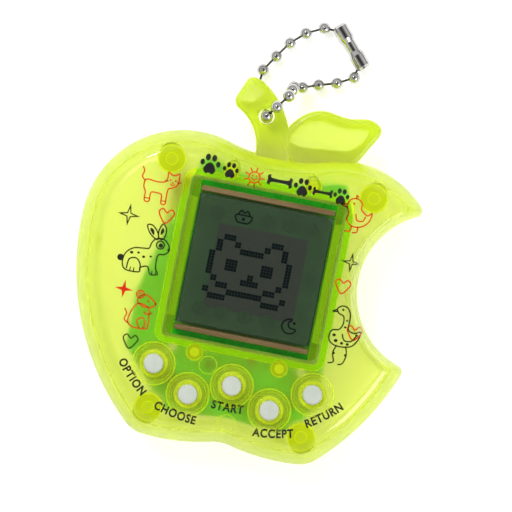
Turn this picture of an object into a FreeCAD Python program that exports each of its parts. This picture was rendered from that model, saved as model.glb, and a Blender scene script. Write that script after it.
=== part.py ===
import FreeCAD, Part
import math
import os

# Virtual pet keychain: an apple-shaped translucent case with a bite out of its right side,
# lying on its flat back.  Millimetres.  X runs to the right across the screen, Y up towards
# the stem and Z out of the screen.  The origin is on the flat back, behind the screen's centre.

Vec = FreeCAD.Vector
UP = Vec(0, 0, 1)

# ---------------------------------------------------------------- case, seen from the front
CASE_WIDTH = 69.2            # across the two lobes, before the bite
CASE_THICKNESS = 16.0
WALL = 1.8
SHOULDER = 4.5               # how far the rounded edge reaches in over the face
BITE_SHOULDER_SHARE = 0.45   # the edge along the bite is that much tighter
SEAM_STEP = 0.12             # the back shell stands in from the front one
RIB_W = 1.7                  # locating ribs across the seam
RIB_DEPTH = 1.3
RIB_ROOT = 3.0
RIB_TONGUE = 1.6
LOBE_R = 19.6                # upper lobes
LOBE_Y = 4.4
FLANK_R = 50.0               # long sides below the lobes
FLANK_LEAN = 2.6             # degrees from level, lobe centre to flank centre
FOOT_X = 11.6                # the two shallow curves that the apple stands on
FOOT_R = 40.0
FOOT_BOTTOM = -35.3
FOOT_CORNER_R = 6.0
FOOT_NOTCH_R = 8.0
DIP_Y = 21.8                 # bottom of the hollow between the lobes, behind stem and leaf
BITE_X = 35.4
BITE_Y = 2.0
BITE_R = 15.5
BITE_TIP_R = 1.3

# ---------------------------------------------------------------- stem and leaf
STEM_THICKNESS = 7.0
STEM_EDGE_R = 1.0
STEM_CORNER_R = 1.6
STEM_HOLE = Vec(-3.5, 29.3, 0)
STEM_HOLE_D = 3.1
STEM_HOLE_FLARE = 0.5
LEAF_EDGE_R = 0.9
POCKET_SKIN = 1.3            # plastic left over the hollows in stem and leaf

# ---------------------------------------------------------------- screws and bosses
SCREW_D = 1.8
SCREW_HEAD_D = 3.5
SCREW_HEAD_T = 1.3
SCREW_SINK = 1.2             # head below the back face
SCREW_L = 7.0                # shank and point under the head
SCREW_TIP_R = 0.1
HEAD_EDGE_SHARE = 0.4        # rounding of a head's edge, of its thickness
CROSS_L_SHARE = 0.62         # cross recess, of the head's width
CROSS_W_SHARE = 0.16
CROSS_DEPTH_SHARE = 0.5      # and of its thickness
SCREW_FIT = 0.05             # radial gap round a shank in its pilot hole
SCREW_PASS = 0.2             # radial gap in a clearance hole
PILOT_SKIN = 1.0             # plastic left between a pilot hole and the ceiling
BOSS_WALL = 1.7
BOSS_EDGE = 5.6              # boss centre in from the outline
UPPER_BOSS_ANGLE = 71.0      # degrees round the upper lobe
SHORT_SCREW_D = 1.5
SHORT_HEAD_D = 2.8
SHORT_HEAD_T = 0.7
BOARD_SCREW_L = 2.2          # thread in a board post
POST_D = 3.0
PEG_D = 1.6                  # the lower posts end in pegs through the board
PEG_PROUD = 0.6

# ---------------------------------------------------------------- window and display
WINDOW_W = 30.6
WINDOW_H = 31.4
WINDOW_CORNER_R = 1.2
WINDOW_T = 1.0
WINDOW_SINK = 0.3
WINDOW_LEDGE = 0.7
WINDOW_BEVEL = 0.15
SKIRT_WALL = 1.2
FIT = 0.1                    # gap round a piece dropped into a pocket
GLASS_W = 26.4
GLASS_H = 30.0
GLASS_T = 0.7
REAR_GLASS_H = 25.4
POLARISER_W = 25.5
POLARISER_H = 24.5
POLARISER_T = 0.2
POLARISER_CORNER_R = 1.4
DISPLAY_DROP = 0.3           # front of the display below the shell's ceiling
REFLECTOR_T = 0.2
REFLECTOR_IN = 0.2           # film inside the glass's edges
DECK_T = 0.8
HOLDER_STEP = 0.6            # the frame's sides are thinner between its corners
HOLDER_END_STEP = 0.25
HOLDER_CORNER = 4.6
STRIP_W = 1.1
STRIP_L = 26.0
STRIP_Y = 13.45
STRIP_EDGE_R = 0.25

# ---------------------------------------------------------------- circuit board
BOARD_T = 1.0
BOARD_LEFT = -21.5
BOARD_RIGHT = 16.6
BOARD_TOP_EDGE = 20.0
BOARD_BOTTOM_EDGE = -29.4
BOARD_FOOT = 12.0            # half the width of its bottom edge
BOARD_GAP = 0.4              # from bosses
BOARD_WALL_GAP = 1.4         # from the case's wall
BOARD_HOLE_D = 1.8
SCREW_POSTS = [(-7.9, 17.8), (7.9, 17.8)]
PEG_POSTS = [(-8.2, -17.6), (8.2, -17.6)]
BOARD_HOLES = [(-12.6, -17.6), (12.6, -17.6), (2.8, -17.6), (-5.0, -19.6)]
PAD_T = 0.05
PAD_GAP = 0.4
CHIP_D = 9.0
CHIP_T = 1.5
CHIP_X = 11.0
CHIP_Y = -9.0
CRYSTAL_D = 2.0
CRYSTAL_L = 6.0
CRYSTAL_EDGE_R = 0.3
CRYSTAL_X = -15.5
CRYSTAL_Y = -10.0            # its upper end
CAPACITORS = [(-13.0, -19.5), (-9.6, -22.5), (15.0, 2.0)]
CAPACITOR_SIZE = (2.0, 1.2, 0.9)
RESISTORS = [(-18.0, -14.0), (-18.0, -17.5), (13.5, -16.0), (14.2, 7.0)]
RESISTOR_SIZE = (1.6, 0.8, 0.5)

# ---------------------------------------------------------------- keys
KEYS = {"far_left": (-15.4, -21.2), "near_left": (-7.9, -25.7), "centre": (0.0, -22.5),
        "near_right": (7.9, -25.7), "far_right": (15.4, -21.2)}
KEY_D = 3.7
KEY_FIT = 0.1
KEY_PROUD = 1.0
KEY_TRAVEL = 0.8
KEY_EDGE_R = 0.35
KEY_FLANGE_OVER = 0.75       # flange beyond the guide's bore
KEY_FLANGE_T = 0.8
GUIDE_WALL = 0.75
GUIDE_PROUD = 0.3
DISH_W = 1.45                # dished ring round each guide
DISH_DEPTH = 0.35
PILL_T = 0.3
PILL_MARGIN = 0.3
MAT_T = 0.6
MAT_RING = 0.95
MAT_LINK = 2.4

# ---------------------------------------------------------------- cells, door and sounder
CELL_D = 11.6
CELL_T = 5.4
CELL_GAP = 0.8               # between the two cells
CELL_FIT = 0.3
CELL_WALL = 1.1
CELL_EDGE_R = 0.4
CAP_T = 0.6                  # narrower end of a cell
CAP_SHARE = 0.86             # its width, of the can's
BAY_SHORT = 0.4              # bay walls below the cells' upper face
DOOR_T = 1.4
DOOR_SINK = 0.15
DOOR_FROM_SCREWS = 0.59      # door's upper edge below the upper case screws' heads
DOOR_FIT = 0.12
DOOR_LEDGE = 1.2
DOOR_LEDGE_T = 1.0
DOOR_SCREW_L = 3.2           # thread above the door
DOOR_CORNER_R = 3.0
DOOR_RIM = 1.5               # thickened shell round the door
DOOR_TAIL = 5.2              # door beyond the cells, for its screw
DOOR_SCREW_IN = 0.4          # screw nearer the cells than the tail's middle
DOOR_BOSS_OVER = 1.2         # boss beyond the screw's tip
DOOR_PILOT_SKIN = 0.8
HEAD_FIT = 0.1               # door under its screw's head
GRIPS = 4                    # thumb grooves in the door
GRIP_PITCH = 1.1
GRIP_IN = 2.0
GRIP_W = 0.5
GRIP_L = 6.0
GRIP_DEPTH = 0.3
BRIDGE_T = 0.25
BRIDGE_OVER = 5.0            # bridge beyond the cells' centres, both ends together
BRIDGE_H = 6.0
BRIDGE_CORNER_R = 1.0
CONTACT_T = 0.3
CONTACT_W = 8.0
CONTACT_H = 4.0
DIMPLE_R = 1.0
DIMPLE_ROOT_R = 1.8
SOUNDER_D = 20.0
SOUNDER_T = 0.2
CERAMIC_D = 14.0
SOUNDER_Y = -16.0
SOUNDER_FIT = 0.1
SOUNDER_WALL = 1.0
SOUNDER_LIFT = 0.8           # air under the disc
SOUNDER_LEDGE = 0.8
SOUNDER_RIM = 1.0            # seat's rim above the disc's lower face
SPRING_OFFSET = 2.2          # springs stand that far above the disc's centre
SPRING_X = (-1.0, -8.0)      # on the ceramic and on the brass beside it
SPRING_W = 1.6
SPRING_TOE = 1.4
SPRING_FOOT = 3.0
SPRING_BEND = 0.8
SOUND_HOLE_D = 1.3
SOUND_RING_R = 3.0

# ---------------------------------------------------------------- ball chain
BEAD_D = 2.4
BEAD_SKIN = 0.25
LINK_D = 0.45
LINK_BALL_D = 0.8
LINK_REACH = 0.5             # from a bead's centre to the ball on a link's end
LINK_HOLE_D = 0.7
FRONT_LINKS = 9              # from the sleeve to the bead in the stem's hole
REAR_LINKS = 10              # from there, under the stem, back to the sleeve
SLEEVE_L = 9.8
SLEEVE_SKIN = 0.3
SLEEVE_FIT = 0.06
SLEEVE_WAIST = 0.35
SLEEVE_SLOT = 0.8
SLEEVE_SWELL = 0.6           # full width that much beyond the beads it holds
SLEEVE_TAPER = 0.9
SLEEVE_EDGE = 0.5
SLEEVE_X = 10.0
SLEEVE_Y = 46.05
SLEEVE_ANGLE = 131.8         # degrees, the way the sleeve points
CHAIN_LIFT = 0.1             # beads clear of the surface under the case

# ---------------------------------------------------------------- heights worked out from those
SEAM = CASE_THICKNESS / 2
FACE = CASE_THICKNESS
CEILING = FACE - WALL
BOARD_TOP = SEAM + BOARD_T
WINDOW_BOTTOM = FACE - WINDOW_SINK - WINDOW_T
DISPLAY_TOP = CEILING - DISPLAY_DROP
GLASS_TOP = DISPLAY_TOP - POLARISER_T
REAR_TOP = GLASS_TOP - GLASS_T
REFLECTOR_TOP = REAR_TOP - GLASS_T
DECK_TOP = REFLECTOR_TOP - REFLECTOR_T
PAD_TOP = BOARD_TOP + PAD_T
PILL_BOTTOM = PAD_TOP + KEY_TRAVEL + KEY_FIT
FLANGE_BOTTOM = PILL_BOTTOM + PILL_T + KEY_FIT
GUIDE_END = FLANGE_BOTTOM + KEY_FLANGE_T + KEY_FIT
KEY_BORE_D = KEY_D + 2 * KEY_FIT
GUIDE_D = KEY_BORE_D + 2 * GUIDE_WALL
DOOR_TOP = DOOR_SINK + DOOR_T
CELL_BOTTOM = DOOR_TOP + BRIDGE_T
CELL_TOP = CELL_BOTTOM + CELL_T
CELL_PITCH = CELL_D + CELL_GAP
CELL_POCKET_W = CELL_PITCH + CELL_D + 2 * CELL_FIT
CELL_POCKET_H = CELL_D + 2 * CELL_FIT
DOOR_W = CELL_POCKET_W + 2 * DOOR_LEDGE + DOOR_TAIL
DOOR_H = CELL_POCKET_H + 2 * DOOR_LEDGE
DOOR_X = -DOOR_TAIL / 2
DOOR_SCREW_X = -CELL_POCKET_W / 2 - DOOR_LEDGE - DOOR_TAIL / 2 + DOOR_SCREW_IN
DOOR_BOSS_TOP = DOOR_TOP + DOOR_SCREW_L + DOOR_BOSS_OVER
SOUNDER_BOTTOM = WALL + SOUNDER_LIFT
STEM_TOP = SEAM + STEM_THICKNESS / 2
BOSS_D = SCREW_D + 2 * BOSS_WALL
PILOT_END = CEILING - PILOT_SKIN
LOBE_X = CASE_WIDTH / 2 - LOBE_R
DIP_R = ((DIP_Y - LOBE_Y) ** 2 + LOBE_X ** 2 - LOBE_R ** 2) / (2 * (LOBE_R + LOBE_Y - DIP_Y))
FOOT_Y = FOOT_BOTTOM + FOOT_R
UPPER_SCREW_Y = LOBE_Y + (LOBE_R - BOSS_EDGE) * math.sin(math.radians(UPPER_BOSS_ANGLE))
CELL_Y = UPPER_SCREW_Y - SCREW_HEAD_D / 2 - DOOR_FROM_SCREWS - DOOR_H / 2


# ================================================================ small helpers
def polar(x, y, radius, degrees):
    """The point at that radius and angle round (x, y)."""
    turn = math.radians(degrees)
    return (x + radius * math.cos(turn), y + radius * math.sin(turn))


def disc(x, y, bottom, top, diameter):
    """An upright cylinder."""
    return Part.makeCylinder(diameter / 2, top - bottom, Vec(x, y, bottom), UP)


def block(x, y, bottom, top, width, height):
    """An upright box centred on (x, y)."""
    return Part.makeBox(width, height, top - bottom, Vec(x - width / 2, y - height / 2, bottom))


def slab(x, y, bottom, top, width, height, corner):
    """An upright box with rounded vertical corners."""
    solid = block(x, y, bottom, top, width, height)
    return solid.makeFillet(corner, [e for e in solid.Edges if is_upright(e)])


def is_upright(edge):
    """True for a straight edge along Z."""
    start, end = edge.Vertexes[0].Point, edge.Vertexes[-1].Point
    return math.hypot(end.x - start.x, end.y - start.y) < 1e-6


def fused(solids):
    """All the solids as one, joined one after another."""
    whole = solids[0]
    for solid in solids[1:]:
        whole = whole.fuse(solid)
    return whole


def cut(solid, tools):
    """The solid with every tool taken away, one after another."""
    for tool in tools:
        solid = solid.cut(tool)
    return solid


def mirrored(solid):
    """The solid turned over about the seam between the shells."""
    return solid.mirror(Vec(0, 0, SEAM), UP)


def save(name, shape):
    """Writes one sub-part, which has to be sound."""
    if not shape.isValid() or not shape.Solids:
        raise ValueError(name + " is not a valid shape")
    if len(shape.Solids) == 1:
        shape = shape.Solids[0]
    shape.exportStep("parts/" + name + ".step")


# ================================================================ the apple's outline
def crossing(first, second, side):
    """Where circles (x, y, radius) cross, on the left (1) or right (-1) of first to second."""
    dx, dy = second[0] - first[0], second[1] - first[1]
    gap = math.hypot(dx, dy)
    along = (first[2] ** 2 - second[2] ** 2 + gap ** 2) / (2 * gap)
    across = side * math.sqrt(first[2] ** 2 - along ** 2)
    return (first[0] + (along * dx - across * dy) / gap, first[1] + (along * dy + across * dx) / gap)


def towards(circle, point):
    """The point of the circle nearest to another point."""
    dx, dy = point[0] - circle[0], point[1] - circle[1]
    gap = math.hypot(dx, dy)
    return (circle[0] + circle[2] * dx / gap, circle[1] + circle[2] * dy / gap)


def arc(circle, start, end, turn, z):
    """The circle's edge from start to end, anticlockwise where turn is 1."""
    first = math.degrees(math.atan2(start[1] - circle[1], start[0] - circle[0]))
    last = math.degrees(math.atan2(end[1] - circle[1], end[0] - circle[0]))
    sweep = (turn * (last - first)) % 360
    middle = polar(circle[0], circle[1], circle[2], first + turn * sweep / 2)
    return Part.Arc(Vec(*start, z), Vec(*middle, z), Vec(*end, z)).toShape()


def flank(side):
    """Centre of the long curve on that side, which runs on smoothly from its lobe."""
    x, y = polar(-LOBE_X, LOBE_Y, FLANK_R - LOBE_R, -FLANK_LEAN)
    return (side * -x, y)


def apple(inset, z):
    """The apple's closed outline, moved inwards, anticlockwise from the left lobe.

    Material is inside a circle marked 1 and outside one marked -1.  Each circle names the
    blend to the next: its radius, the side its material is on, and where its centre lies.
    """
    left, right = flank(-1), flank(1)
    tip = BITE_TIP_R
    chain = [((-LOBE_X, LOBE_Y, LOBE_R - inset), 1, None),
             ((left[0], left[1], FLANK_R - inset), 1, (FOOT_CORNER_R, 1, 1)),
             ((-FOOT_X, FOOT_Y, FOOT_R - inset), 1, (FOOT_NOTCH_R, -1, -1)),
             ((FOOT_X, FOOT_Y, FOOT_R - inset), 1, (FOOT_CORNER_R, 1, 1)),
             ((right[0], right[1], FLANK_R - inset), 1, (tip, 1, -1)),
             ((BITE_X, BITE_Y, BITE_R + inset * BITE_SHOULDER_SHARE), -1, (tip, 1, -1)),
             ((LOBE_X, LOBE_Y, LOBE_R - inset), 1, (DIP_R, -1, -1))]
    joints, blends = [], []
    for i, (circle, material, blend) in enumerate(chain):
        following, next_material, _ = chain[(i + 1) % len(chain)]
        if blend is None:
            joint = towards(following, circle)
            joints.append((joint, joint))
            blends.append(None)
            continue
        radius, blend_material, side = blend
        reach = (circle[0], circle[1], circle[2] - material * blend_material * radius)
        next_reach = (following[0], following[1],
                      following[2] - next_material * blend_material * radius)
        centre = crossing(reach, next_reach, side)
        joints.append((towards(circle, centre), towards(following, centre)))
        blends.append(((centre[0], centre[1], radius), blend_material))
    edges = []
    for i, (circle, material, _) in enumerate(chain):
        edges.append(arc(circle, joints[i - 1][1], joints[i][0], material, z))
        if blends[i]:
            edges.append(arc(blends[i][0], joints[i][0], joints[i][1], blends[i][1], z))
    return Part.Wire(edges)


def dome(inset, rise):
    """Half the apple above the seam: its edge is a quarter ellipse up to the flat face."""
    reach = SHOULDER * rise / (CASE_THICKNESS / 2)
    sections = []
    for degrees in (0, 20, 38, 55, 72, 90):
        turn = math.radians(degrees)
        sections.append(apple(inset + reach * (1 - math.cos(turn)), SEAM + rise * math.sin(turn)))
    return Part.makeLoft(sections, True, False)


# ================================================================ stem and leaf
def stem_half():
    """The front half of the stem: a bent stalk, cut off square at its tip."""
    foot_left, foot_right = Vec(-4.3, 21.5, SEAM), Vec(2.5, 21.5, SEAM)
    left, tip_left, tip_right = Vec(-10.5, 30.5, SEAM), Vec(-8.0, 36.6, SEAM), Vec(-5.4, 35.7, SEAM)
    right = Vec(1.0, 28.0, SEAM)
    outline = Part.Wire([Part.LineSegment(foot_left, foot_right).toShape(),
                         Part.LineSegment(foot_right, right).toShape(),
                         Part.Arc(right, Vec(-1.8, 32.7, SEAM), tip_right).toShape(),
                         Part.LineSegment(tip_right, tip_left).toShape(),
                         Part.LineSegment(tip_left, left).toShape(),
                         Part.Arc(left, Vec(-5.9, 27.1, SEAM), foot_left).toShape()])
    solid = Part.Face(outline).extrude(Vec(0, 0, STEM_THICKNESS / 2))
    clear_of_foot = foot_left.y + 1
    corners = [e for e in solid.Edges if is_upright(e) and e.Vertexes[0].Y > clear_of_foot]
    solid = solid.makeFillet(STEM_CORNER_R, corners)
    rim = [e for e in solid.Edges if e.BoundBox.ZMin > STEM_TOP - 1e-4 and e.BoundBox.YMax > clear_of_foot]
    return solid.makeFillet(STEM_EDGE_R, rim)


def stem_pocket():
    """The hollow in the front half of the stem's tip."""
    corners = [(-9.1, 31.3), (-7.5, 35.2), (-5.6, 34.4), (-4.6, 33.5), (-6.6, 31.4)]
    points = [Vec(x, y, SEAM) for x, y in corners]
    face = Part.Face(Part.makePolygon(points + points[:1]))
    return face.extrude(Vec(0, 0, STEM_THICKNESS / 2 - POCKET_SKIN))


def smooth_face(points, z):
    """A flat face inside one smooth closed curve through the points."""
    curve = Part.BSplineCurve()
    curve.interpolate([Vec(x, y, z) for x, y in points], PeriodicFlag=True)
    return Part.Face(Part.Wire(curve.toShape()))


def leaf_half():
    """The front half of the leaf, whose lower end runs into the apple's top edge."""
    outline = [(1.4, 23.0), (0.5, 26.4), (2.6, 30.1), (7.2, 32.4), (12.4, 31.9), (16.8, 32.3),
               (18.6, 31.0), (17.4, 27.6), (14.2, 22.8), (8.0, 21.2)]
    solid = smooth_face(outline, SEAM).extrude(Vec(0, 0, STEM_THICKNESS / 2))
    rim = [e for e in solid.Edges if e.BoundBox.ZMin > STEM_TOP - 1e-4]
    return solid.makeFillet(LEAF_EDGE_R, rim)


def leaf_pocket():
    """The hollow in the front half of the leaf, which leaves a thick rim."""
    outline = [(1.8, 26.0), (3.6, 29.0), (7.4, 30.4), (12.0, 29.9), (16.2, 30.0), (14.4, 26.6),
               (8.6, 25.3), (3.4, 24.9)]
    return smooth_face(outline, SEAM).extrude(Vec(0, 0, STEM_THICKNESS / 2 - POCKET_SKIN))


def stem_hole():
    """The hole for the ball chain, flared at both faces."""
    bottom = SEAM - STEM_THICKNESS / 2
    bore = disc(STEM_HOLE.x, STEM_HOLE.y, bottom - 1, STEM_TOP + 1, STEM_HOLE_D)
    radius = STEM_HOLE_D / 2
    flare = Part.makeCone(radius, radius + STEM_HOLE_FLARE, STEM_HOLE_FLARE,
                          Vec(STEM_HOLE.x, STEM_HOLE.y, STEM_TOP - STEM_HOLE_FLARE), UP)
    return fused([bore, flare, mirrored(flare)])


# ================================================================ shells
def case_bosses():
    """Centres of the four screw bosses, a fixed way in from the outline."""
    upper = polar(LOBE_X, LOBE_Y, LOBE_R - BOSS_EDGE, UPPER_BOSS_ANGLE)
    centre = flank(1)
    corner = crossing((centre[0], centre[1], FLANK_R - BOSS_EDGE), (FOOT_X, FOOT_Y, FOOT_R - BOSS_EDGE), -1)
    return [(-upper[0], upper[1]), upper, (-corner[0], corner[1]), corner]


def rim_ribs():
    """Where the locating ribs stand: centre, radius and angle of the curve behind each."""
    left = flank(-1)
    return [(left[0], left[1], FLANK_R, 183.9), (-LOBE_X, LOBE_Y, LOBE_R, 80.0),
            (-FOOT_X, FOOT_Y, FOOT_R, 273.0), (FOOT_X, FOOT_Y, FOOT_R, 269.0)]


def turned(solid, x, y, degrees):
    """The solid turned about the origin's upright, then moved to (x, y)."""
    solid.rotate(Vec(0, 0, 0), UP, degrees)
    solid.translate(Vec(x, y, 0))
    return solid


def rib_root(x, y, radius, degrees):
    """The part of a locating rib that stands on the front shell's wall."""
    inner = radius - WALL - SEAM_STEP - FIT - RIB_DEPTH
    root = Part.makeBox(RIB_DEPTH + WALL, RIB_W, RIB_ROOT, Vec(inner, -RIB_W / 2, SEAM))
    return turned(root, x, y, degrees)


def rib_tongue(x, y, radius, degrees):
    """The part of a locating rib that reaches down inside the back shell's wall."""
    inner = radius - WALL - SEAM_STEP - FIT - RIB_DEPTH
    tongue = Part.makeBox(RIB_DEPTH, RIB_W, RIB_TONGUE, Vec(inner, -RIB_W / 2, SEAM - RIB_TONGUE))
    return turned(tongue, x, y, degrees)


def front_shell():
    """Front half of the case, with the window well, key guides, bosses and posts."""
    skirt_w, skirt_h = WINDOW_W + 2 * SKIRT_WALL, WINDOW_H + 2 * SKIRT_WALL
    kept = [slab(0, 0, BOARD_TOP + FIT, FACE, skirt_w, skirt_h, WINDOW_CORNER_R + SKIRT_WALL)]
    collars, dishes, bores, pegs = [], [], [], []
    for x, y in KEYS.values():
        guide = disc(x, y, GUIDE_END, FACE + 1, GUIDE_D)
        kept.append(guide)
        collars.append(disc(x, y, CEILING, FACE + GUIDE_PROUD, GUIDE_D))
        dishes.append(disc(x, y, FACE - DISH_DEPTH, FACE + 1, GUIDE_D + 2 * DISH_W).cut(guide))
        bores.append(disc(x, y, SEAM, FACE + 2, KEY_BORE_D))
    for x, y in case_bosses():
        kept.append(disc(x, y, SEAM, FACE, BOSS_D))
        bores.append(disc(x, y, SEAM - 1, PILOT_END, SCREW_D + 2 * SCREW_FIT))
    for x, y in SCREW_POSTS:
        kept.append(disc(x, y, BOARD_TOP, FACE, POST_D))
        bores.append(disc(x, y, SEAM, PILOT_END, SHORT_SCREW_D + 2 * SCREW_FIT))
    for x, y in PEG_POSTS:
        kept.append(disc(x, y, BOARD_TOP, FACE, POST_D))
        pegs.append(disc(x, y, SEAM - PEG_PROUD, BOARD_TOP + FIT, PEG_D))
    well = [slab(0, 0, WINDOW_BOTTOM, FACE + 1, WINDOW_W, WINDOW_H, WINDOW_CORNER_R),
            slab(0, 0, CEILING - 1, FACE, WINDOW_W - 2 * WINDOW_LEDGE, WINDOW_H - 2 * WINDOW_LEDGE,
                 WINDOW_CORNER_R),
            slab(0, 0, SEAM, CEILING, WINDOW_W, WINDOW_H, WINDOW_CORNER_R)]
    cavity = dome(WALL, CEILING - SEAM)
    room = cut(cavity, kept + [rib_root(*place) for place in rim_ribs()])
    shell = cut(fused([dome(0, SEAM)] + collars), dishes + [room])
    shell = fused([shell, cut(stem_half(), [cavity, stem_pocket()]), cut(leaf_half(), [cavity, leaf_pocket()])])
    shell = cut(shell, well + bores + [stem_hole()])
    return fused([shell] + pegs + [rib_tongue(*place) for place in rim_ribs()])


def back_shell():
    """Back half of the case, with the cell bay, sounder seat and screw wells."""
    rim_top = DOOR_TOP + DOOR_LEDGE_T
    bay_r = 0.999 * CELL_POCKET_H / 2
    kept = [slab(DOOR_X, CELL_Y, -1, rim_top, DOOR_W + 2 * DOOR_RIM, DOOR_H + 2 * DOOR_RIM,
                 DOOR_CORNER_R + DOOR_RIM),
            slab(0, CELL_Y, -1, CELL_TOP - BAY_SHORT, CELL_POCKET_W + 2 * CELL_WALL,
                 CELL_POCKET_H + 2 * CELL_WALL, bay_r + CELL_WALL),
            disc(DOOR_SCREW_X, CELL_Y, -1, DOOR_BOSS_TOP, SHORT_SCREW_D + 2 * BOSS_WALL),
            disc(0, SOUNDER_Y, -1, SOUNDER_BOTTOM + SOUNDER_RIM,
                 SOUNDER_D + 2 * SOUNDER_FIT + 2 * SOUNDER_WALL)]
    holes = [slab(DOOR_X, CELL_Y, -1, DOOR_TOP, DOOR_W + 2 * DOOR_FIT, DOOR_H + 2 * DOOR_FIT,
                  DOOR_CORNER_R + DOOR_FIT),
             slab(0, CELL_Y, 0, SEAM, CELL_POCKET_W, CELL_POCKET_H, bay_r),
             disc(DOOR_SCREW_X, CELL_Y, 0, DOOR_BOSS_TOP - DOOR_PILOT_SKIN, SHORT_SCREW_D + 2 * SCREW_FIT),
             disc(0, SOUNDER_Y, SOUNDER_BOTTOM, SEAM, SOUNDER_D + 2 * SOUNDER_FIT),
             disc(0, SOUNDER_Y, WALL, SEAM, SOUNDER_D - 2 * SOUNDER_LEDGE),
             disc(0, SOUNDER_Y, -1, WALL + 1, SOUND_HOLE_D), stem_hole()]
    for x, y in case_bosses():
        kept.append(disc(x, y, -1, SEAM + 1, BOSS_D))
        holes.append(disc(x, y, -1, SEAM + 1, SCREW_D + 2 * SCREW_PASS))
        holes.append(disc(x, y, -1, SCREW_SINK + SCREW_HEAD_T, SCREW_HEAD_D + 2 * SCREW_PASS))
    for i in range(6):
        x, y = polar(0, SOUNDER_Y, SOUND_RING_R, 60 * i)
        holes.append(disc(x, y, -1, WALL + 1, SOUND_HOLE_D))
    cavity = dome(WALL + SEAM_STEP, CEILING - SEAM)
    room = cut(mirrored(cavity), kept)
    stem = mirrored(cut(stem_half(), [cavity, stem_pocket()]))
    leaf = mirrored(cut(leaf_half(), [cavity, leaf_pocket()]))
    return cut(fused([cut(mirrored(dome(SEAM_STEP, SEAM)), [room]), stem, leaf]), holes)


def screw(x, y, head_bottom, head_d, head_t, shank_d, tip):
    """A pan-head screw driven upwards, with a cross in its head and a short point."""
    head = disc(x, y, head_bottom, head_bottom + head_t, head_d)
    edge = [e for e in head.Edges if abs(e.BoundBox.ZMax - head_bottom) < 1e-4]
    head = head.makeFillet(head_t * HEAD_EDGE_SHARE, edge)
    point = shank_d / 2
    shank = disc(x, y, head_bottom + head_t, tip - point, shank_d)
    cone = Part.makeCone(shank_d / 2, SCREW_TIP_R, point, Vec(x, y, tip - point), UP)
    depth, length, width = head_t * CROSS_DEPTH_SHARE, head_d * CROSS_L_SHARE, head_d * CROSS_W_SHARE
    arms = [block(x, y, head_bottom - 1, head_bottom + depth, length, width),
            block(x, y, head_bottom - 1, head_bottom + depth, width, length)]
    return cut(fused([head, shank, cone]), arms)


def case_screws():
    """Four screws from the back into the front shell's bosses."""
    tip = SCREW_SINK + SCREW_HEAD_T + SCREW_L
    return Part.makeCompound([screw(x, y, SCREW_SINK, SCREW_HEAD_D, SCREW_HEAD_T, SCREW_D, tip)
                              for x, y in case_bosses()])


def battery_door():
    """The screwed cover over the two cells."""
    door = slab(DOOR_X, CELL_Y, DOOR_SINK, DOOR_TOP, DOOR_W, DOOR_H, DOOR_CORNER_R)
    well_top = DOOR_SINK + SHORT_HEAD_T + HEAD_FIT
    well = disc(DOOR_SCREW_X, CELL_Y, -1, well_top, SHORT_HEAD_D + 2 * SCREW_PASS)
    hole = disc(DOOR_SCREW_X, CELL_Y, -1, DOOR_TOP + 1, SHORT_SCREW_D + 2 * SCREW_PASS)
    grips = []
    for i in range(GRIPS):
        x = DOOR_X + DOOR_W / 2 - GRIP_IN - GRIP_PITCH * i
        grips.append(block(x, CELL_Y, -1, DOOR_SINK + GRIP_DEPTH, GRIP_W, GRIP_L))
    return cut(door, [well, hole] + grips)


def door_screw():
    """The one screw of the battery door."""
    return screw(DOOR_SCREW_X, CELL_Y, DOOR_SINK + HEAD_FIT, SHORT_HEAD_D, SHORT_HEAD_T, SHORT_SCREW_D,
                 DOOR_TOP + DOOR_SCREW_L)


# ================================================================ window and display
def screen_window():
    """The clear pane over the display."""
    pane = slab(0, 0, WINDOW_BOTTOM, WINDOW_BOTTOM + WINDOW_T, WINDOW_W - 2 * FIT, WINDOW_H - 2 * FIT,
                WINDOW_CORNER_R - FIT)
    rim = [e for e in pane.Edges if e.BoundBox.ZMin > WINDOW_BOTTOM + WINDOW_T - 1e-4]
    return pane.makeChamfer(WINDOW_BEVEL, rim)


def lcd_holder():
    """The frame that stands on the board inside the well and carries the display."""
    top = CEILING - FIT
    width, height = WINDOW_W - 2 * FIT, WINDOW_H - 2 * FIT
    frame = slab(0, 0, BOARD_TOP, top, width, height, WINDOW_CORNER_R - FIT)
    room = block(0, 0, BOARD_TOP - 1, top + 1, GLASS_W + 2 * FIT, GLASS_H + 2 * FIT)
    deck = block(0, 0, DECK_TOP - DECK_T, DECK_TOP, GLASS_W + 2 * FIT, REAR_GLASS_H + 2 * FIT)
    frame = fused([cut(frame, [room]), deck])
    steps = []
    for side in (-1, 1):
        steps.append(block(side * width / 2, 0, DECK_TOP, top + 1, 2 * HOLDER_STEP,
                           height - 2 * HOLDER_CORNER))
        steps.append(block(0, side * height / 2, DECK_TOP, top + 1, width - 2 * HOLDER_CORNER,
                           2 * HOLDER_END_STEP))
    return cut(frame, steps)


def display_layers():
    """Polariser, front glass, rear glass and reflector, front to back."""
    return {
        "front_polariser": slab(0, 0, GLASS_TOP, DISPLAY_TOP, POLARISER_W, POLARISER_H, POLARISER_CORNER_R),
        "lcd_front_glass": block(0, 0, REAR_TOP, GLASS_TOP, GLASS_W, GLASS_H),
        "lcd_rear_glass": block(0, 0, REFLECTOR_TOP, REAR_TOP, GLASS_W, REAR_GLASS_H),
        "lcd_reflector": block(0, 0, DECK_TOP, REFLECTOR_TOP, GLASS_W - 2 * REFLECTOR_IN,
                               REAR_GLASS_H - 2 * REFLECTOR_IN)}


def zebra_strip(side):
    """A rubber strip of many fine conductors, from the board up to the front glass."""
    strip = block(0, side * STRIP_Y, BOARD_TOP, REAR_TOP, STRIP_L, STRIP_W)
    edges = [e for e in strip.Edges if e.BoundBox.XLength > STRIP_L - 1 and e.BoundBox.ZMin > BOARD_TOP + 1]
    return strip.makeFillet(STRIP_EDGE_R, edges)


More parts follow.
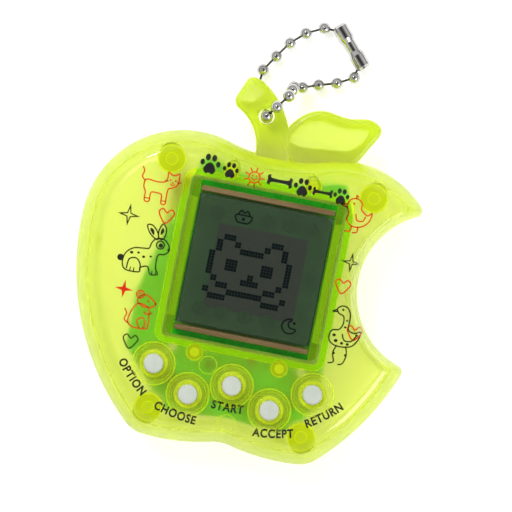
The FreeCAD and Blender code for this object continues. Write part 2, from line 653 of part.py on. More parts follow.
# ================================================================ circuit board
def board_outline():
    """The board seen from the front: its upper left is cut away and its foot is narrow."""
    points = [(-13.5, BOARD_TOP_EDGE), (-16.4, 11.0), (-18.6, 3.0), (BOARD_LEFT, -8.0), (BOARD_LEFT, -19.0),
              (-BOARD_FOOT, BOARD_BOTTOM_EDGE), (BOARD_FOOT, BOARD_BOTTOM_EDGE), (BOARD_RIGHT, -24.0),
              (BOARD_RIGHT, 13.0), (14.0, BOARD_TOP_EDGE)]
    corners = [Vec(x, y, SEAM) for x, y in points]
    return Part.Face(Part.makePolygon(corners + corners[:1])).extrude(Vec(0, 0, BOARD_T))


def main_board():
    """The green circuit board, cut clear of the case bosses, with its holes."""
    within = Part.Face(apple(WALL + SEAM_STEP + BOARD_WALL_GAP, SEAM)).extrude(Vec(0, 0, BOARD_T))
    board = board_outline().common(within)
    holes = []
    for x, y in case_bosses():
        holes.append(disc(x, y, 0, FACE, BOSS_D + 2 * BOARD_GAP))
    for x, y in SCREW_POSTS:
        holes.append(disc(x, y, 0, FACE, SHORT_SCREW_D + 2 * SCREW_PASS))
    for x, y in PEG_POSTS:
        holes.append(disc(x, y, 0, FACE, PEG_D + 2 * FIT))
    for x, y in BOARD_HOLES:
        holes.append(disc(x, y, 0, FACE, BOARD_HOLE_D))
    return cut(board, holes).removeSplitter()


def board_screws():
    """Two short screws from behind the board into the front shell's upper posts."""
    return Part.makeCompound([screw(x, y, SEAM - SHORT_HEAD_T, SHORT_HEAD_D, SHORT_HEAD_T, SHORT_SCREW_D,
                                    BOARD_TOP + BOARD_SCREW_L) for x, y in SCREW_POSTS])


def key_pads():
    """The printed carbon contacts under the keys: two half rounds each."""
    pads = []
    for x, y in KEYS.values():
        gap = block(x, y, 0, FACE, PAD_GAP, KEY_D * 2)
        halves = cut(disc(x, y, BOARD_TOP, PAD_TOP, KEY_D), [gap])
        pads.extend(halves.Solids)
    return Part.makeCompound(pads)


def chip_blob():
    """The drop of resin over the chip, behind the board."""
    radius = CHIP_D / 2
    sphere_r = (radius ** 2 + CHIP_T ** 2) / (2 * CHIP_T)
    ball = Part.makeSphere(sphere_r, Vec(CHIP_X, CHIP_Y, SEAM - CHIP_T + sphere_r))
    return ball.common(block(CHIP_X, CHIP_Y, SEAM - CHIP_T - 1, SEAM, CHIP_D * 2, CHIP_D * 2))


def crystal():
    """The small tuning-fork crystal that lies behind the board."""
    end = Vec(CRYSTAL_X, CRYSTAL_Y, SEAM - CRYSTAL_D / 2)
    can = Part.makeCylinder(CRYSTAL_D / 2, CRYSTAL_L, end, Vec(0, -1, 0))
    return can.makeFillet(CRYSTAL_EDGE_R, can.Edges[:1])


def small_parts(places, size):
    """Surface-mounted pieces behind the board, each with its long side along Y."""
    length, width, height = size
    return Part.makeCompound([block(x, y, SEAM - height, SEAM, width, length) for x, y in places])


# ================================================================ keys
def key(x, y):
    """A moulded rubber key: round top, flange under its guide and a short foot."""
    top = disc(x, y, FLANGE_BOTTOM + KEY_FLANGE_T, FACE + KEY_PROUD, KEY_D)
    edge = [e for e in top.Edges if e.BoundBox.ZMin > FACE + KEY_PROUD - 1e-4]
    top = top.makeFillet(KEY_EDGE_R, edge)
    flange = disc(x, y, FLANGE_BOTTOM, FLANGE_BOTTOM + KEY_FLANGE_T, KEY_BORE_D + 2 * KEY_FLANGE_OVER)
    foot = disc(x, y, PILL_BOTTOM + PILL_T, FLANGE_BOTTOM, KEY_D)
    return fused([top, flange, foot])


def pill(x, y):
    """The carbon pill under a key that bridges its contacts."""
    return disc(x, y, PILL_BOTTOM, PILL_BOTTOM + PILL_T, KEY_D - 2 * PILL_MARGIN)


def keypad_mat():
    """The soft sheet on the board that rings every key."""
    hole_d = KEY_BORE_D + 2 * KEY_FLANGE_OVER + 4 * KEY_FIT
    places = sorted(KEYS.values())
    pieces = [disc(x, y, BOARD_TOP, BOARD_TOP + MAT_T, hole_d + 2 * MAT_RING) for x, y in places]
    for (x, y), (next_x, next_y) in zip(places, places[1:]):
        length = math.hypot(next_x - x, next_y - y)
        strap = Part.makeBox(length, MAT_LINK, MAT_T, Vec(0, -MAT_LINK / 2, BOARD_TOP))
        pieces.append(turned(strap, x, y, math.degrees(math.atan2(next_y - y, next_x - x))))
    return cut(fused(pieces), [disc(x, y, 0, FACE, hole_d) for x, y in places])


# ================================================================ cells, contacts and sounder
def cell(side):
    """A button cell: a wide can with a narrower cap, the cap towards the door on one side."""
    x = side * CELL_PITCH / 2
    can = disc(x, CELL_Y, CELL_BOTTOM + CAP_T, CELL_TOP, CELL_D)
    can = can.makeFillet(CELL_EDGE_R, [e for e in can.Edges if e.BoundBox.ZMin > CELL_TOP - 1e-4])
    cap = disc(x, CELL_Y, CELL_BOTTOM, CELL_BOTTOM + CAP_T, CELL_D * CAP_SHARE)
    whole = fused([can, cap])
    if side > 0:
        middle = (CELL_BOTTOM + CELL_TOP) / 2
        whole = whole.mirror(Vec(0, 0, middle), UP)
    return whole


def contact_bridge():
    """The plate on the door that joins the two cells."""
    return slab(0, CELL_Y, DOOR_TOP, CELL_BOTTOM, CELL_PITCH + BRIDGE_OVER, BRIDGE_H, BRIDGE_CORNER_R)


def cell_contact(side):
    """A plate soldered behind the board, dimpled down onto a cell."""
    x = side * CELL_PITCH / 2
    plate = block(x, CELL_Y, SEAM - CONTACT_T, SEAM, CONTACT_W, CONTACT_H)
    height = SEAM - CONTACT_T - CELL_TOP
    dimple = Part.makeCone(DIMPLE_R, DIMPLE_ROOT_R, height, Vec(x, CELL_Y, CELL_TOP), UP)
    return fused([plate, dimple])


def sounder_plate():
    """The brass disc of the sounder."""
    return disc(0, SOUNDER_Y, SOUNDER_BOTTOM, SOUNDER_BOTTOM + SOUNDER_T, SOUNDER_D)


def sounder_ceramic():
    """The ceramic element on the disc."""
    bottom = SOUNDER_BOTTOM + SOUNDER_T
    return disc(0, SOUNDER_Y, bottom, bottom + SOUNDER_T, CERAMIC_D)


def sounder_spring(x, touch):
    """A bent strip from the board down to the sounder, where its toe rests."""
    foot, under = x + SPRING_FOOT, SEAM - CONTACT_T
    heel, toe = x - SPRING_BEND, x - SPRING_BEND + SPRING_TOE
    profile = [(x, SEAM), (foot, SEAM), (foot, under), (x + CONTACT_T, under),
               (heel + CONTACT_T, touch + CONTACT_T), (toe, touch + CONTACT_T), (toe, touch), (heel, touch)]
    points = [Vec(px, SOUNDER_Y + SPRING_OFFSET, pz) for px, pz in profile]
    return Part.Face(Part.makePolygon(points + points[:1])).extrude(Vec(0, SPRING_W, 0))


def sounder_springs():
    """Two spring strips: one on the ceramic, one on the brass beside it."""
    ceramic_top = SOUNDER_BOTTOM + 2 * SOUNDER_T
    brass_top = SOUNDER_BOTTOM + SOUNDER_T
    heights = (ceramic_top, brass_top)
    return Part.makeCompound([sounder_spring(x, touch) for x, touch in zip(SPRING_X, heights)])


# ================================================================ ball chain
def bead_centres():
    """Every bead of the loop, from one end held in the sleeve to the other.

    The loop lies on the surface under the case.  Its front strand climbs over the stem's face
    to the bead in the hole, and its rear strand drops through and runs out underneath.
    """
    floor = BEAD_D / 2 + CHAIN_LIFT
    under = SEAM - STEM_THICKNESS / 2 - BEAD_D / 2 - 0.2
    crest = STEM_TOP + BEAD_D / 2 + 0.6
    start, end = sleeve_beads()
    held = Vec(STEM_HOLE.x, STEM_HOLE.y, STEM_TOP - 0.3)
    front = [start, Vec(12.0, 40.7, floor + 0.1), Vec(8.7, 38.6, floor), Vec(5.1, 37.5, floor),
             Vec(2.6, 36.5, floor + 0.9), Vec(1.0, 36.1, SEAM - 3.6), Vec(0.3, 35.6, SEAM),
             Vec(0.4, 34.6, SEAM + 2.8), Vec(-0.7, 33.0, crest - 0.1), Vec(-2.1, 31.0, crest), held]
    rear = [held, Vec(STEM_HOLE.x, STEM_HOLE.y, SEAM), Vec(STEM_HOLE.x - 0.1, STEM_HOLE.y + 0.2, under),
            Vec(-4.9, 32.6, floor), Vec(-6.7, 36.3, floor), Vec(-5.0, 39.8, floor), Vec(-2.8, 43.3, floor),
            Vec(0.0, 46.3, floor), Vec(3.6, 48.4, floor + 0.1), end]
    return strand(front, FRONT_LINKS) + strand(rear, REAR_LINKS)[1:]


def strand(route, links):
    """Points evenly spaced along the smooth curve through a route."""
    curve = Part.BSplineCurve()
    curve.interpolate(route)
    step = curve.length() / links
    return [curve.value(curve.parameterAtDistance(step * i, curve.FirstParameter)) for i in range(links + 1)]


def sleeve_beads():
    """Centres of the two beads held in the sleeve."""
    reach = SLEEVE_L / 2 - SLEEVE_SKIN - BEAD_D / 2 - SLEEVE_FIT
    height = BEAD_D / 2 + SLEEVE_FIT + SLEEVE_SKIN
    ends = []
    for side in (-1, 1):
        x, y = polar(SLEEVE_X, SLEEVE_Y, side * reach, SLEEVE_ANGLE)
        ends.append(Vec(x, y, height))
    return ends


def bead(centre, neighbours):
    """A hollow ball with a hole towards each of its neighbours."""
    ball = Part.makeSphere(BEAD_D / 2, centre)
    hollow = Part.makeSphere(BEAD_D / 2 - BEAD_SKIN, centre)
    holes = [Part.makeCylinder(LINK_HOLE_D / 2, BEAD_D, centre, other - centre) for other in neighbours]
    return cut(ball, [hollow] + holes)


def link(start, end):
    """The dumbbell that joins two beads: a wire with a ball inside each."""
    way = (end - start).normalize()
    first, last = start + way * LINK_REACH, end - way * LINK_REACH
    wire = Part.makeCylinder(LINK_D / 2, (last - first).Length, first, way)
    balls = [Part.makeSphere(LINK_BALL_D / 2, point) for point in (first, last)]
    return fused([wire] + balls)


def chain_beads(centres, first, last):
    """The beads from first to last as one group."""
    beads = []
    for i in range(first, last):
        neighbours = centres[max(i - 1, 0):i] + centres[i + 1:i + 2]
        beads.append(bead(centres[i], neighbours))
    return Part.makeCompound(beads)


def chain_sleeve():
    """The sheet-metal coupling: a waisted tube with a slot on the loop's side."""
    outer = BEAD_D / 2 + SLEEVE_FIT + SLEEVE_SKIN
    half = SLEEVE_L / 2
    wide = half - BEAD_D - SLEEVE_SWELL
    side = [(outer - SLEEVE_WAIST, wide - SLEEVE_TAPER), (outer, wide), (outer, half - SLEEVE_EDGE),
            (outer - SLEEVE_EDGE, half), (0, half)]
    profile = [(r, -y) for r, y in reversed(side)] + side
    inner = [(max(r - SLEEVE_SKIN, 0), y * (half - SLEEVE_SKIN) / half) for r, y in profile]
    bodies = []
    for points in (profile, inner):
        corners = [Vec(r, y, 0) for r, y in points]
        face = Part.Face(Part.makePolygon(corners + corners[:1]))
        bodies.append(face.revolve(Vec(0, 0, 0), Vec(0, 1, 0), 360))
    slot = Part.makeBox(outer + 1, SLEEVE_L + 2, SLEEVE_SLOT, Vec(-outer - 1, -half - 1, -SLEEVE_SLOT / 2))
    sleeve = cut(bodies[0], [bodies[1], slot])
    sleeve.translate(Vec(0, 0, outer))
    return turned(sleeve, SLEEVE_X, SLEEVE_Y, SLEEVE_ANGLE - 90)


# ================================================================ the whole keychain
def build():
    """Every sub-part by name."""
    pieces = {
        "front_shell": front_shell(),
        "back_shell": back_shell(),
        "case_screws": case_screws(),
        "battery_door": battery_door(),
        "battery_door_screw": door_screw(),
        "screen_window": screen_window(),
        "lcd_holder": lcd_holder(),
        "zebra_strip_upper": zebra_strip(1),
        "zebra_strip_lower": zebra_strip(-1),
        "main_board": main_board(),
        "board_screws": board_screws(),
        "key_contact_pads": key_pads(),
        "keypad_mat": keypad_mat(),
        "chip_blob": chip_blob(),
        "timing_crystal": crystal(),
        "chip_capacitors": small_parts(CAPACITORS, CAPACITOR_SIZE),
        "chip_resistors": small_parts(RESISTORS, RESISTOR_SIZE),
        "cell_left": cell(-1),
        "cell_right": cell(1),
        "cell_bridge": contact_bridge(),
        "cell_contact_left": cell_contact(-1),
        "cell_contact_right": cell_contact(1),
        "sounder_plate": sounder_plate(),
        "sounder_ceramic": sounder_ceramic(),
        "sounder_springs": sounder_springs()}
    pieces.update(display_layers())
    for name, (x, y) in KEYS.items():
        pieces["key_" + name] = key(x, y)
        pieces["carbon_pill_" + name] = pill(x, y)
    centres = bead_centres()
    pieces["chain_beads_front"] = chain_beads(centres, 0, FRONT_LINKS)
    pieces["chain_beads_rear"] = chain_beads(centres, FRONT_LINKS, len(centres))
    pieces["chain_links"] = Part.makeCompound([link(a, b) for a, b in zip(centres, centres[1:])])
    pieces["chain_sleeve"] = chain_sleeve()
    return pieces


os.makedirs("parts", exist_ok=True)
for part_name, part_shape in build().items():
    save(part_name, part_shape)
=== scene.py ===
import bmesh
import bpy
import math
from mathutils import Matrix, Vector
from mathutils.bvhtree import BVHTree
from mathutils.geometry import tessellate_polygon


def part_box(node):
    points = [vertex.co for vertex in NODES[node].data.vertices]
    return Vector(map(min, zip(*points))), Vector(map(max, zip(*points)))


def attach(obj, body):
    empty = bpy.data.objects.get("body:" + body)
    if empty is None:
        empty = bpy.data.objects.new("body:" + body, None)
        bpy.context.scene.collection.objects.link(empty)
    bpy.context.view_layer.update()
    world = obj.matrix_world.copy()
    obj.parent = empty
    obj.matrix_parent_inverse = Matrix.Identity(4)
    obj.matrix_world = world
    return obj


# Virtual pet keychain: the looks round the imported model.  Blender's lengths are metres; the sizes
# below are in millimetres and are multiplied by MM where they are used.

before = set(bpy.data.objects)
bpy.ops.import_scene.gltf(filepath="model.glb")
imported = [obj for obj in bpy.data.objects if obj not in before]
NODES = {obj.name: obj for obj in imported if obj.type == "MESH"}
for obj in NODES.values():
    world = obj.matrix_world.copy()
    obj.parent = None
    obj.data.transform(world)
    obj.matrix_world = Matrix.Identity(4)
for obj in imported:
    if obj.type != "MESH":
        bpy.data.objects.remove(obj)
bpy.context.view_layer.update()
MM = 0.001

# ---------------------------------------------------------------- view
TURN = 11.25                     # degrees; the toy lies turned clockwise in the picture
LENS = 250.0
SENSOR = 36.0
VIEW_WIDTH = 98.46               # across the picture, at the seam's height
AIM = (1.25, 2.16, 0)            # the picture's centre, from the case's centre
NEAREST, FARTHEST = 0.01, 10.0   # metres that the camera sees between


def place_camera():
    camera = bpy.data.objects.new("camera", bpy.data.cameras.new("camera"))
    bpy.context.scene.collection.objects.link(camera)
    camera.data.lens = LENS
    camera.data.sensor_width = SENSOR
    camera.data.clip_start = NEAREST
    camera.data.clip_end = FARTHEST
    low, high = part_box("front_shell")
    centre = (low + high) / 2 + Vector(AIM) * MM
    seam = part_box("back_shell")[1].z
    camera.location = (centre.x, centre.y, seam + VIEW_WIDTH * MM * LENS / SENSOR)
    camera.rotation_euler = (0, 0, math.radians(TURN))
    bpy.context.scene.camera = camera


# ---------------------------------------------------------------- materials
# Colours of the case's plastic: its surface, what its depth lets through, what it scatters and
# a painted glow, a fixed emission in its depth that stands in for the light of its fluorescent dye.
# Densities and glows are per metre of depth.
LIME = (0.848, 0.835, 0.93)
LIME_DYE = (0.925, 0.962, 0.05)
LIME_HAZE = (0.82, 0.95, 0.02)
LIME_PAINTED_GLOW = (0.80, 1.0, 0.0)
SHELL_DENSITY = 300
SHELL_PAINTED_GLOW = 39
SHELL_CLOUD = (0.06, 0.52)       # share of light scattered, seen face on and seen edge on
STEM_PAINTED_LIGHT = 0.17                # painted light: how much more is scattered in the stem and the leaf, to make them brighter
STEM_FOOT = 23.0                 # where the stem and the leaf leave the body
STEM_BLEND = 4.0
HOLDER_TINT = (0.90, 1.0, 0.45)
HOLDER_DYE = (0.7, 0.96, 0.0)
HOLDER_HAZE = (0.60, 0.90, 0.02)
HOLDER_DENSITY = 200
HOLDER_PAINTED_GLOW = 22
HOLDER_CLOUD = (0.35, 0.8)
HOLDER_CORNER = 3.4              # how far its corner blocks reach in from the glass's ends
PLASTIC_IOR = 1.49
FILM_IOR = 1.45
POLISH = 0.035                   # roughness of a polished face
TEXTURE = (0.36, 0.48)           # and of a textured one
FRONT_SKIN = (0.9, 1.6)          # depths where the polish ends and where the texture is full
BACK_SKIN = (0.4, 0.9)
RIPPLE = (0.015, 4)              # depth and size of the moulded plastic's ripples
SOFT_EDGE = 0.3

# How much more light the front scatters at some distances from the keys, the case screws, the board's posts
# and pegs, and the marks of the mould's ejector pins. Round the keys these are painted highlights, rings
# where the edges of the keys' dishes and collars catch light; over the screw bosses, the posts and the pegs
# it is painted light that lifts their shade; at the pin marks it is the marks' own cloudiness.
KEY_BODIES = [n for n in NODES if n.startswith("key_") and n != "key_contact_pads"]
WIDEST_PIECE = 8.0               # of one key or one screw
PEGS = [(-8.2, -17.6), (8.2, -17.6)]
EJECTOR_PINS = [(0.4, -29.7), (-5.2, -19.5)]
RING_REACH = 5.0
# Painted highlight rings round the keys.
KEY_HIGHLIGHT_RINGS = [(1.9, 0.0), (2.1, 0.02), (2.3, 0.20), (2.6, 0.22), (2.75, 0.06), (3.0, 0.20), (3.35, 0.20),
             (3.5, 0.38), (3.65, 0.20), (3.9, 0.24), (4.0, 0.46), (4.15, 0.46), (4.3, 0.0)]
# Painted light over the screw bosses.
BOSS_PAINTED_LIGHT = [(0.0, 0.42), (1.0, 0.42), (1.15, 0.60), (1.3, 0.36), (2.3, 0.36), (2.5, 0.52), (2.7, 0.52),
              (2.9, 0.0)]
# Painted light over the board's posts and pegs; then the pin marks' own cloudy rings.
POST_PAINTED_LIGHT = [(0.0, 0.60), (0.8, 0.60), (1.0, 0.30), (1.4, 0.30), (1.55, 0.45), (1.75, 0.0)]
PIN_RINGS = [(1.5, 0.0), (1.6, 0.35), (1.75, 0.35), (1.85, 0.0)]

FIELD_PLACE = (0.3, -0.6)        # the display's dot field, from its centre
FIELD_SIZE = (17.7, 16.5)
STRIPE_SCALE = 0.35              # of the conducting rubber's wave; its stripes are closer than this


class Look:
    """A material's node tree, with short ways to add what the finishes below share.

    Sizes, depths and half widths given to its methods are millimetres; what they return to be
    combined further is a socket."""

    def __init__(self, name):
        self.mat = bpy.data.materials.new(name)
        self.mat.use_nodes = True
        self.nodes = self.mat.node_tree.nodes
        self.links = self.mat.node_tree.links
        self.shader = self.nodes["Principled BSDF"]
        self.output = self.nodes["Material Output"]
        self.place = self.nodes.new("ShaderNodeTexCoord").outputs["Object"]

    def set(self, **values):
        """Numbers and colours on the shader's own sockets, an underscore for each space."""
        for key, value in values.items():
            socket = self.shader.inputs[key.replace("_", " ")]
            socket.default_value = (*value, 1) if isinstance(value, tuple) else value
        return self

    def noise(self, size, stretch=(1, 1, 1)):
        """Noise whose grains are about that size across."""
        mapping = self.nodes.new("ShaderNodeMapping")
        mapping.inputs["Scale"].default_value = [s / (size * MM) for s in stretch]
        texture = self.nodes.new("ShaderNodeTexNoise")
        texture.inputs["Scale"].default_value = 1
        texture.inputs["Detail"].default_value = 3
        self.links.new(self.place, mapping.inputs["Vector"])
        self.links.new(mapping.outputs["Vector"], texture.inputs["Vector"])
        return texture.outputs["Fac"]

    def combine(self, operation, first, second=0.0):
        """Arithmetic on sockets or numbers."""
        step = self.nodes.new("ShaderNodeMath")
        step.operation = operation
        for socket, value in zip(step.inputs, (first, second)):
            if isinstance(value, (int, float)):
                socket.default_value = value
            else:
                self.links.new(value, socket)
        return step.outputs["Value"]

    def along(self, axis):
        """The place along X, Y or Z, in metres."""
        split = self.nodes.new("ShaderNodeSeparateXYZ")
        self.links.new(self.place, split.inputs["Vector"])
        return split.outputs[axis]

    def from_axes(self, axes):
        """Distance in metres, in plan, to the nearest of some upright axes, as far as RING_REACH."""
        plan = self.nodes.new("ShaderNodeVectorMath")
        plan.operation = "MULTIPLY"
        plan.inputs[1].default_value = (1, 1, 0)
        self.links.new(self.place, plan.inputs[0])
        nearest = RING_REACH * MM
        for x, y in axes:
            away = self.nodes.new("ShaderNodeVectorMath")
            away.operation = "DISTANCE"
            away.inputs[1].default_value = (x, y, 0)
            self.links.new(plan.outputs["Vector"], away.inputs[0])
            nearest = self.combine("MINIMUM", away.outputs["Value"], nearest)
        return nearest

    def ramp(self, distance, stops):
        """Straight lines through (distance, value) stops."""
        curve = self.nodes.new("ShaderNodeValToRGB")
        while len(curve.color_ramp.elements) < len(stops):
            curve.color_ramp.elements.new(0.5)
        for element, (place, value) in zip(curve.color_ramp.elements, stops):
            element.position = place / RING_REACH
            element.color = (value, value, value, 1)
        self.links.new(self.between(distance, 0, 1, 0, RING_REACH * MM), curve.inputs["Fac"])
        return curve.outputs["Color"]

    def between(self, factor, low, high, start=0.35, end=0.65):
        """A value from low to high as factor goes from start to end, in the factor's own unit."""
        span = self.nodes.new("ShaderNodeMapRange")
        span.inputs["From Min"].default_value = start
        span.inputs["From Max"].default_value = end
        span.inputs["To Min"].default_value = low
        span.inputs["To Max"].default_value = high
        self.links.new(factor, span.inputs["Value"])
        return span.outputs["Result"]

    def inside(self, axis, centre, half):
        """1 where the place along that axis is within half of the centre, with a soft edge."""
        away = self.combine("ABSOLUTE", self.combine("SUBTRACT", self.along(axis), centre * MM))
        return self.between(away, 1, 0, (half - SOFT_EDGE) * MM, half * MM)

    def blend(self, factor, first, second):
        """A colour from first to second; either may be a colour or a socket."""
        mix = self.nodes.new("ShaderNodeMix")
        mix.data_type = "RGBA"
        sockets = [s for s in mix.inputs if s.type == "RGBA"]
        for socket, value in zip(sockets, (first, second)):
            if isinstance(value, tuple):
                socket.default_value = (*value, 1)
            else:
                self.links.new(value, socket)
        self.links.new(factor, mix.inputs["Factor"])
        return [s for s in mix.outputs if s.type == "RGBA"][0]

    def colour(self, first, second, size, stretch=(1, 1, 1)):
        """The base colour drifts between two shades."""
        factor = self.between(self.noise(size, stretch), 0, 1)
        self.links.new(self.blend(factor, first, second), self.shader.inputs["Base Color"])
        return self

    def roughness(self, low, high, size, stretch=(1, 1, 1)):
        """Gloss that varies a little from place to place."""
        factor = self.between(self.noise(size, stretch), low, high)
        self.links.new(factor, self.shader.inputs["Roughness"])
        return self

    def relief(self, depth, size, stretch=(1, 1, 1), strength=0.6):
        """Bumps about that deep."""
        bump = self.nodes.new("ShaderNodeBump")
        bump.inputs["Strength"].default_value = strength
        bump.inputs["Distance"].default_value = depth * MM
        self.links.new(self.noise(size, stretch), bump.inputs["Height"])
        self.links.new(bump.outputs["Normal"], self.shader.inputs["Normal"])
        return self

    def mix_shaders(self, factor, first, second):
        """The first shader where factor is 0, the second where it is 1."""
        mix = self.nodes.new("ShaderNodeMixShader")
        self.links.new(factor, mix.inputs["Fac"])
        self.links.new(first, mix.inputs[1])
        self.links.new(second, mix.inputs[2])
        return mix.outputs["Shader"]

    def haze(self, colour, shares, extra):
        """Dyed plastic scatters a share of the light, more of it where it is seen edge on."""
        lit = self.nodes.new("ShaderNodeBsdfDiffuse")
        lit.inputs["Color"].default_value = (*colour, 1)
        glow = self.nodes.new("ShaderNodeBsdfTranslucent")
        glow.inputs["Color"].default_value = (*colour, 1)
        both = self.nodes.new("ShaderNodeMixShader")
        self.links.new(lit.outputs["BSDF"], both.inputs[1])
        self.links.new(glow.outputs["BSDF"], both.inputs[2])
        edge = self.nodes.new("ShaderNodeLayerWeight")
        edge.inputs["Blend"].default_value = 0.4
        share = self.between(edge.outputs["Facing"], *shares, start=0.05, end=0.9)
        share = self.combine("ADD", share, extra)
        return self.mix_shaders(share, self.shader.outputs["BSDF"], both.outputs["Shader"])

    def let_lamps_through(self, surface, tint):
        """The plastic's whole surface; rays towards the lamps pass straight through it."""
        path = self.nodes.new("ShaderNodeLightPath")
        clear = self.nodes.new("ShaderNodeBsdfTransparent")
        clear.inputs["Color"].default_value = (*tint, 1)
        whole = self.mix_shaders(path.outputs["Is Shadow Ray"], surface, clear.outputs["BSDF"])
        self.links.new(whole, self.output.inputs["Surface"])
        return self

    def absorb(self, colour, density, glow=(0, 0, 0), strength=0.0):
        """Light takes on colour with the depth that it crosses, and a painted glow adds some: an emission
        that stands in for fluorescent dye and does not depend on the lamps.
        """
        volume = self.nodes.new("ShaderNodeVolumeAbsorption")
        volume.inputs["Color"].default_value = (*colour, 1)
        volume.inputs["Density"].default_value = density
        # Painted glow: the volume gives off light of its own, whatever the lamps do.
        dye = self.nodes.new("ShaderNodeEmission")
        dye.inputs["Color"].default_value = (*glow, 1)
        dye.inputs["Strength"].default_value = strength
        total = self.nodes.new("ShaderNodeAddShader")
        self.links.new(volume.outputs["Volume"], total.inputs[0])
        self.links.new(dye.outputs["Emission"], total.inputs[1])
        self.links.new(total.outputs["Shader"], self.output.inputs["Volume"])
        return self


def axes_of(nodes):
    """Where the separate upright pieces of some nodes stand, in plan, in metres."""
    centres = []
    for node in nodes:
        pieces = []
        for vertex in NODES[node].data.vertices:
            spot = vertex.co.xy
            near = [piece for piece in pieces if (piece[0] - spot).length < WIDEST_PIECE * MM]
            if near:
                near[0].append(spot)
            else:
                pieces.append([spot.copy()])
        for piece in pieces:
            middle = [(min(p[i] for p in piece) + max(p[i] for p in piece)) / 2 for i in (0, 1)]
            centres.append(tuple(middle))
    return centres


def in_metres(places):
    """Places in millimetres, in plan, as metres."""
    return [(x * MM, y * MM) for x, y in places]


def shell_plastic():
    """Dyed clear plastic: polished on the flat front and back, textured between them, and cloudy at the
    ejector pin marks. Extra scattering paints highlights in rings round the keys, paints light over the
    bosses, posts and pegs behind the front and over the stem and the leaf; a painted glow in its depth
    stands in for its dye's fluorescence."""
    look = Look("shell_plastic")
    look.set(Base_Color=LIME, Transmission_Weight=1.0, IOR=PLASTIC_IOR)
    look.set(Coat_Weight=0.6, Coat_Roughness=0.03)
    front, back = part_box("front_shell")[1].z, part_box("back_shell")[0].z
    height = look.along("Z")
    under_front = look.between(height, 1, 0, front - FRONT_SKIN[1] * MM, front - FRONT_SKIN[0] * MM)
    over_back = look.between(height, 0, 1, back + BACK_SKIN[0] * MM, back + BACK_SKIN[1] * MM)
    grain = look.between(look.noise(6), *TEXTURE)
    rough = look.combine("MULTIPLY", look.combine("MULTIPLY", under_front, over_back), grain)
    look.links.new(look.combine("MAXIMUM", rough, POLISH), look.shader.inputs["Roughness"])
    look.relief(*RIPPLE, strength=0.25)
    # Painted highlights round the keys and painted light over the bosses, posts and pegs, as extra
    # scattering near the front; the pin marks are the plastic's own.
    pin_marks_and_painted_light = 0.0
    for axes, stops in ((axes_of(KEY_BODIES), KEY_HIGHLIGHT_RINGS), (axes_of(["case_screws"]), BOSS_PAINTED_LIGHT),
                        (axes_of(["board_screws"]) + in_metres(PEGS), POST_PAINTED_LIGHT),
                        (in_metres(EJECTOR_PINS), PIN_RINGS)):
        pin_marks_and_painted_light = look.combine("ADD", look.ramp(look.from_axes(axes), stops), pin_marks_and_painted_light)
    pin_marks_and_painted_light = look.combine("MULTIPLY", pin_marks_and_painted_light, look.combine("SUBTRACT", 1.0, under_front))
    # Painted light: the stem and the leaf scatter more, so that they look brighter.
    painted_stem_light = look.between(look.along("Y"), 0, STEM_PAINTED_LIGHT, STEM_FOOT * MM, (STEM_FOOT + STEM_BLEND) * MM)
    look.let_lamps_through(look.haze(LIME_HAZE, SHELL_CLOUD, look.combine("ADD", pin_marks_and_painted_light, painted_stem_light)), LIME)
    # The case's dye, and a painted glow in its depth.
    look.absorb(LIME_DYE, SHELL_DENSITY, LIME_PAINTED_GLOW, SHELL_PAINTED_GLOW)
    return look.mat


def holder_plastic():
    """The holder's thin side walls between its corner blocks get painted light, a larger share of scattered
    light that makes them bright; the whole holder has a painted glow in its depth.
    """
    look = Look("holder_plastic")
    look.set(Base_Color=HOLDER_TINT, Transmission_Weight=1.0, IOR=PLASTIC_IOR)
    look.roughness(0.12, 0.18, 6).relief(*RIPPLE, strength=0.25)
    low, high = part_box("lcd_front_glass")
    side = look.combine("SUBTRACT", 1.0, look.inside("X", 0, high.x / MM + SOFT_EDGE))
    middle = look.inside("Y", 0, high.y / MM - HOLDER_CORNER)
    above = look.between(look.along("Z"), 0, 1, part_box("lcd_reflector")[0].z, low.z)
    # Painted light on the side walls: they scatter more, so they look bright.
    painted_bright_walls = look.combine("MULTIPLY", look.combine("MULTIPLY", side, middle), above)
    look.let_lamps_through(look.haze(HOLDER_HAZE, HOLDER_CLOUD, painted_bright_walls), HOLDER_TINT)
    look.absorb(HOLDER_DYE, HOLDER_DENSITY, LIME_PAINTED_GLOW, HOLDER_PAINTED_GLOW)
    return look.mat


def clear_sheet(name, tint, dye, density):
    """Clear pane or glass: it mirrors a little and otherwise lets light straight through."""
    look = Look(name)
    look.nodes.remove(look.shader)
    clear = look.nodes.new("ShaderNodeBsdfTransparent")
    clear.inputs["Color"].default_value = (*tint, 1)
    mirror = look.nodes.new("ShaderNodeBsdfGlossy")
    look.links.new(look.between(look.noise(4), 0.01, 0.03), mirror.inputs["Roughness"])
    share = look.nodes.new("ShaderNodeFresnel")
    share.inputs["IOR"].default_value = FILM_IOR
    surface = look.mix_shaders(share.outputs["Fac"], clear.outputs["BSDF"], mirror.outputs["BSDF"])
    look.links.new(surface, look.output.inputs["Surface"])
    look.absorb(dye, density)
    return look.mat


def metal(name, first, second, low, high, size=1.0, stretch=(1, 1, 1)):
    """Bare metal between two shades and two roughnesses, with marks of about that size."""
    look = Look(name).set(Metallic=1.0)
    look.colour(first, second, size * 3).roughness(low, high, size, stretch)
    look.relief(0.004, size * 0.4, stretch, 0.4)
    return look.mat


def solid(name, first, second, low, high, size=1.0, depth=0.01, gloss=0.5):
    """An opaque finish between two shades and two roughnesses, with grains of about that size."""
    look = Look(name).set(IOR=1.5, Specular_IOR_Level=gloss)
    look.colour(first, second, size * 4).roughness(low, high, size)
    look.relief(depth, size * 0.3)
    return look.mat


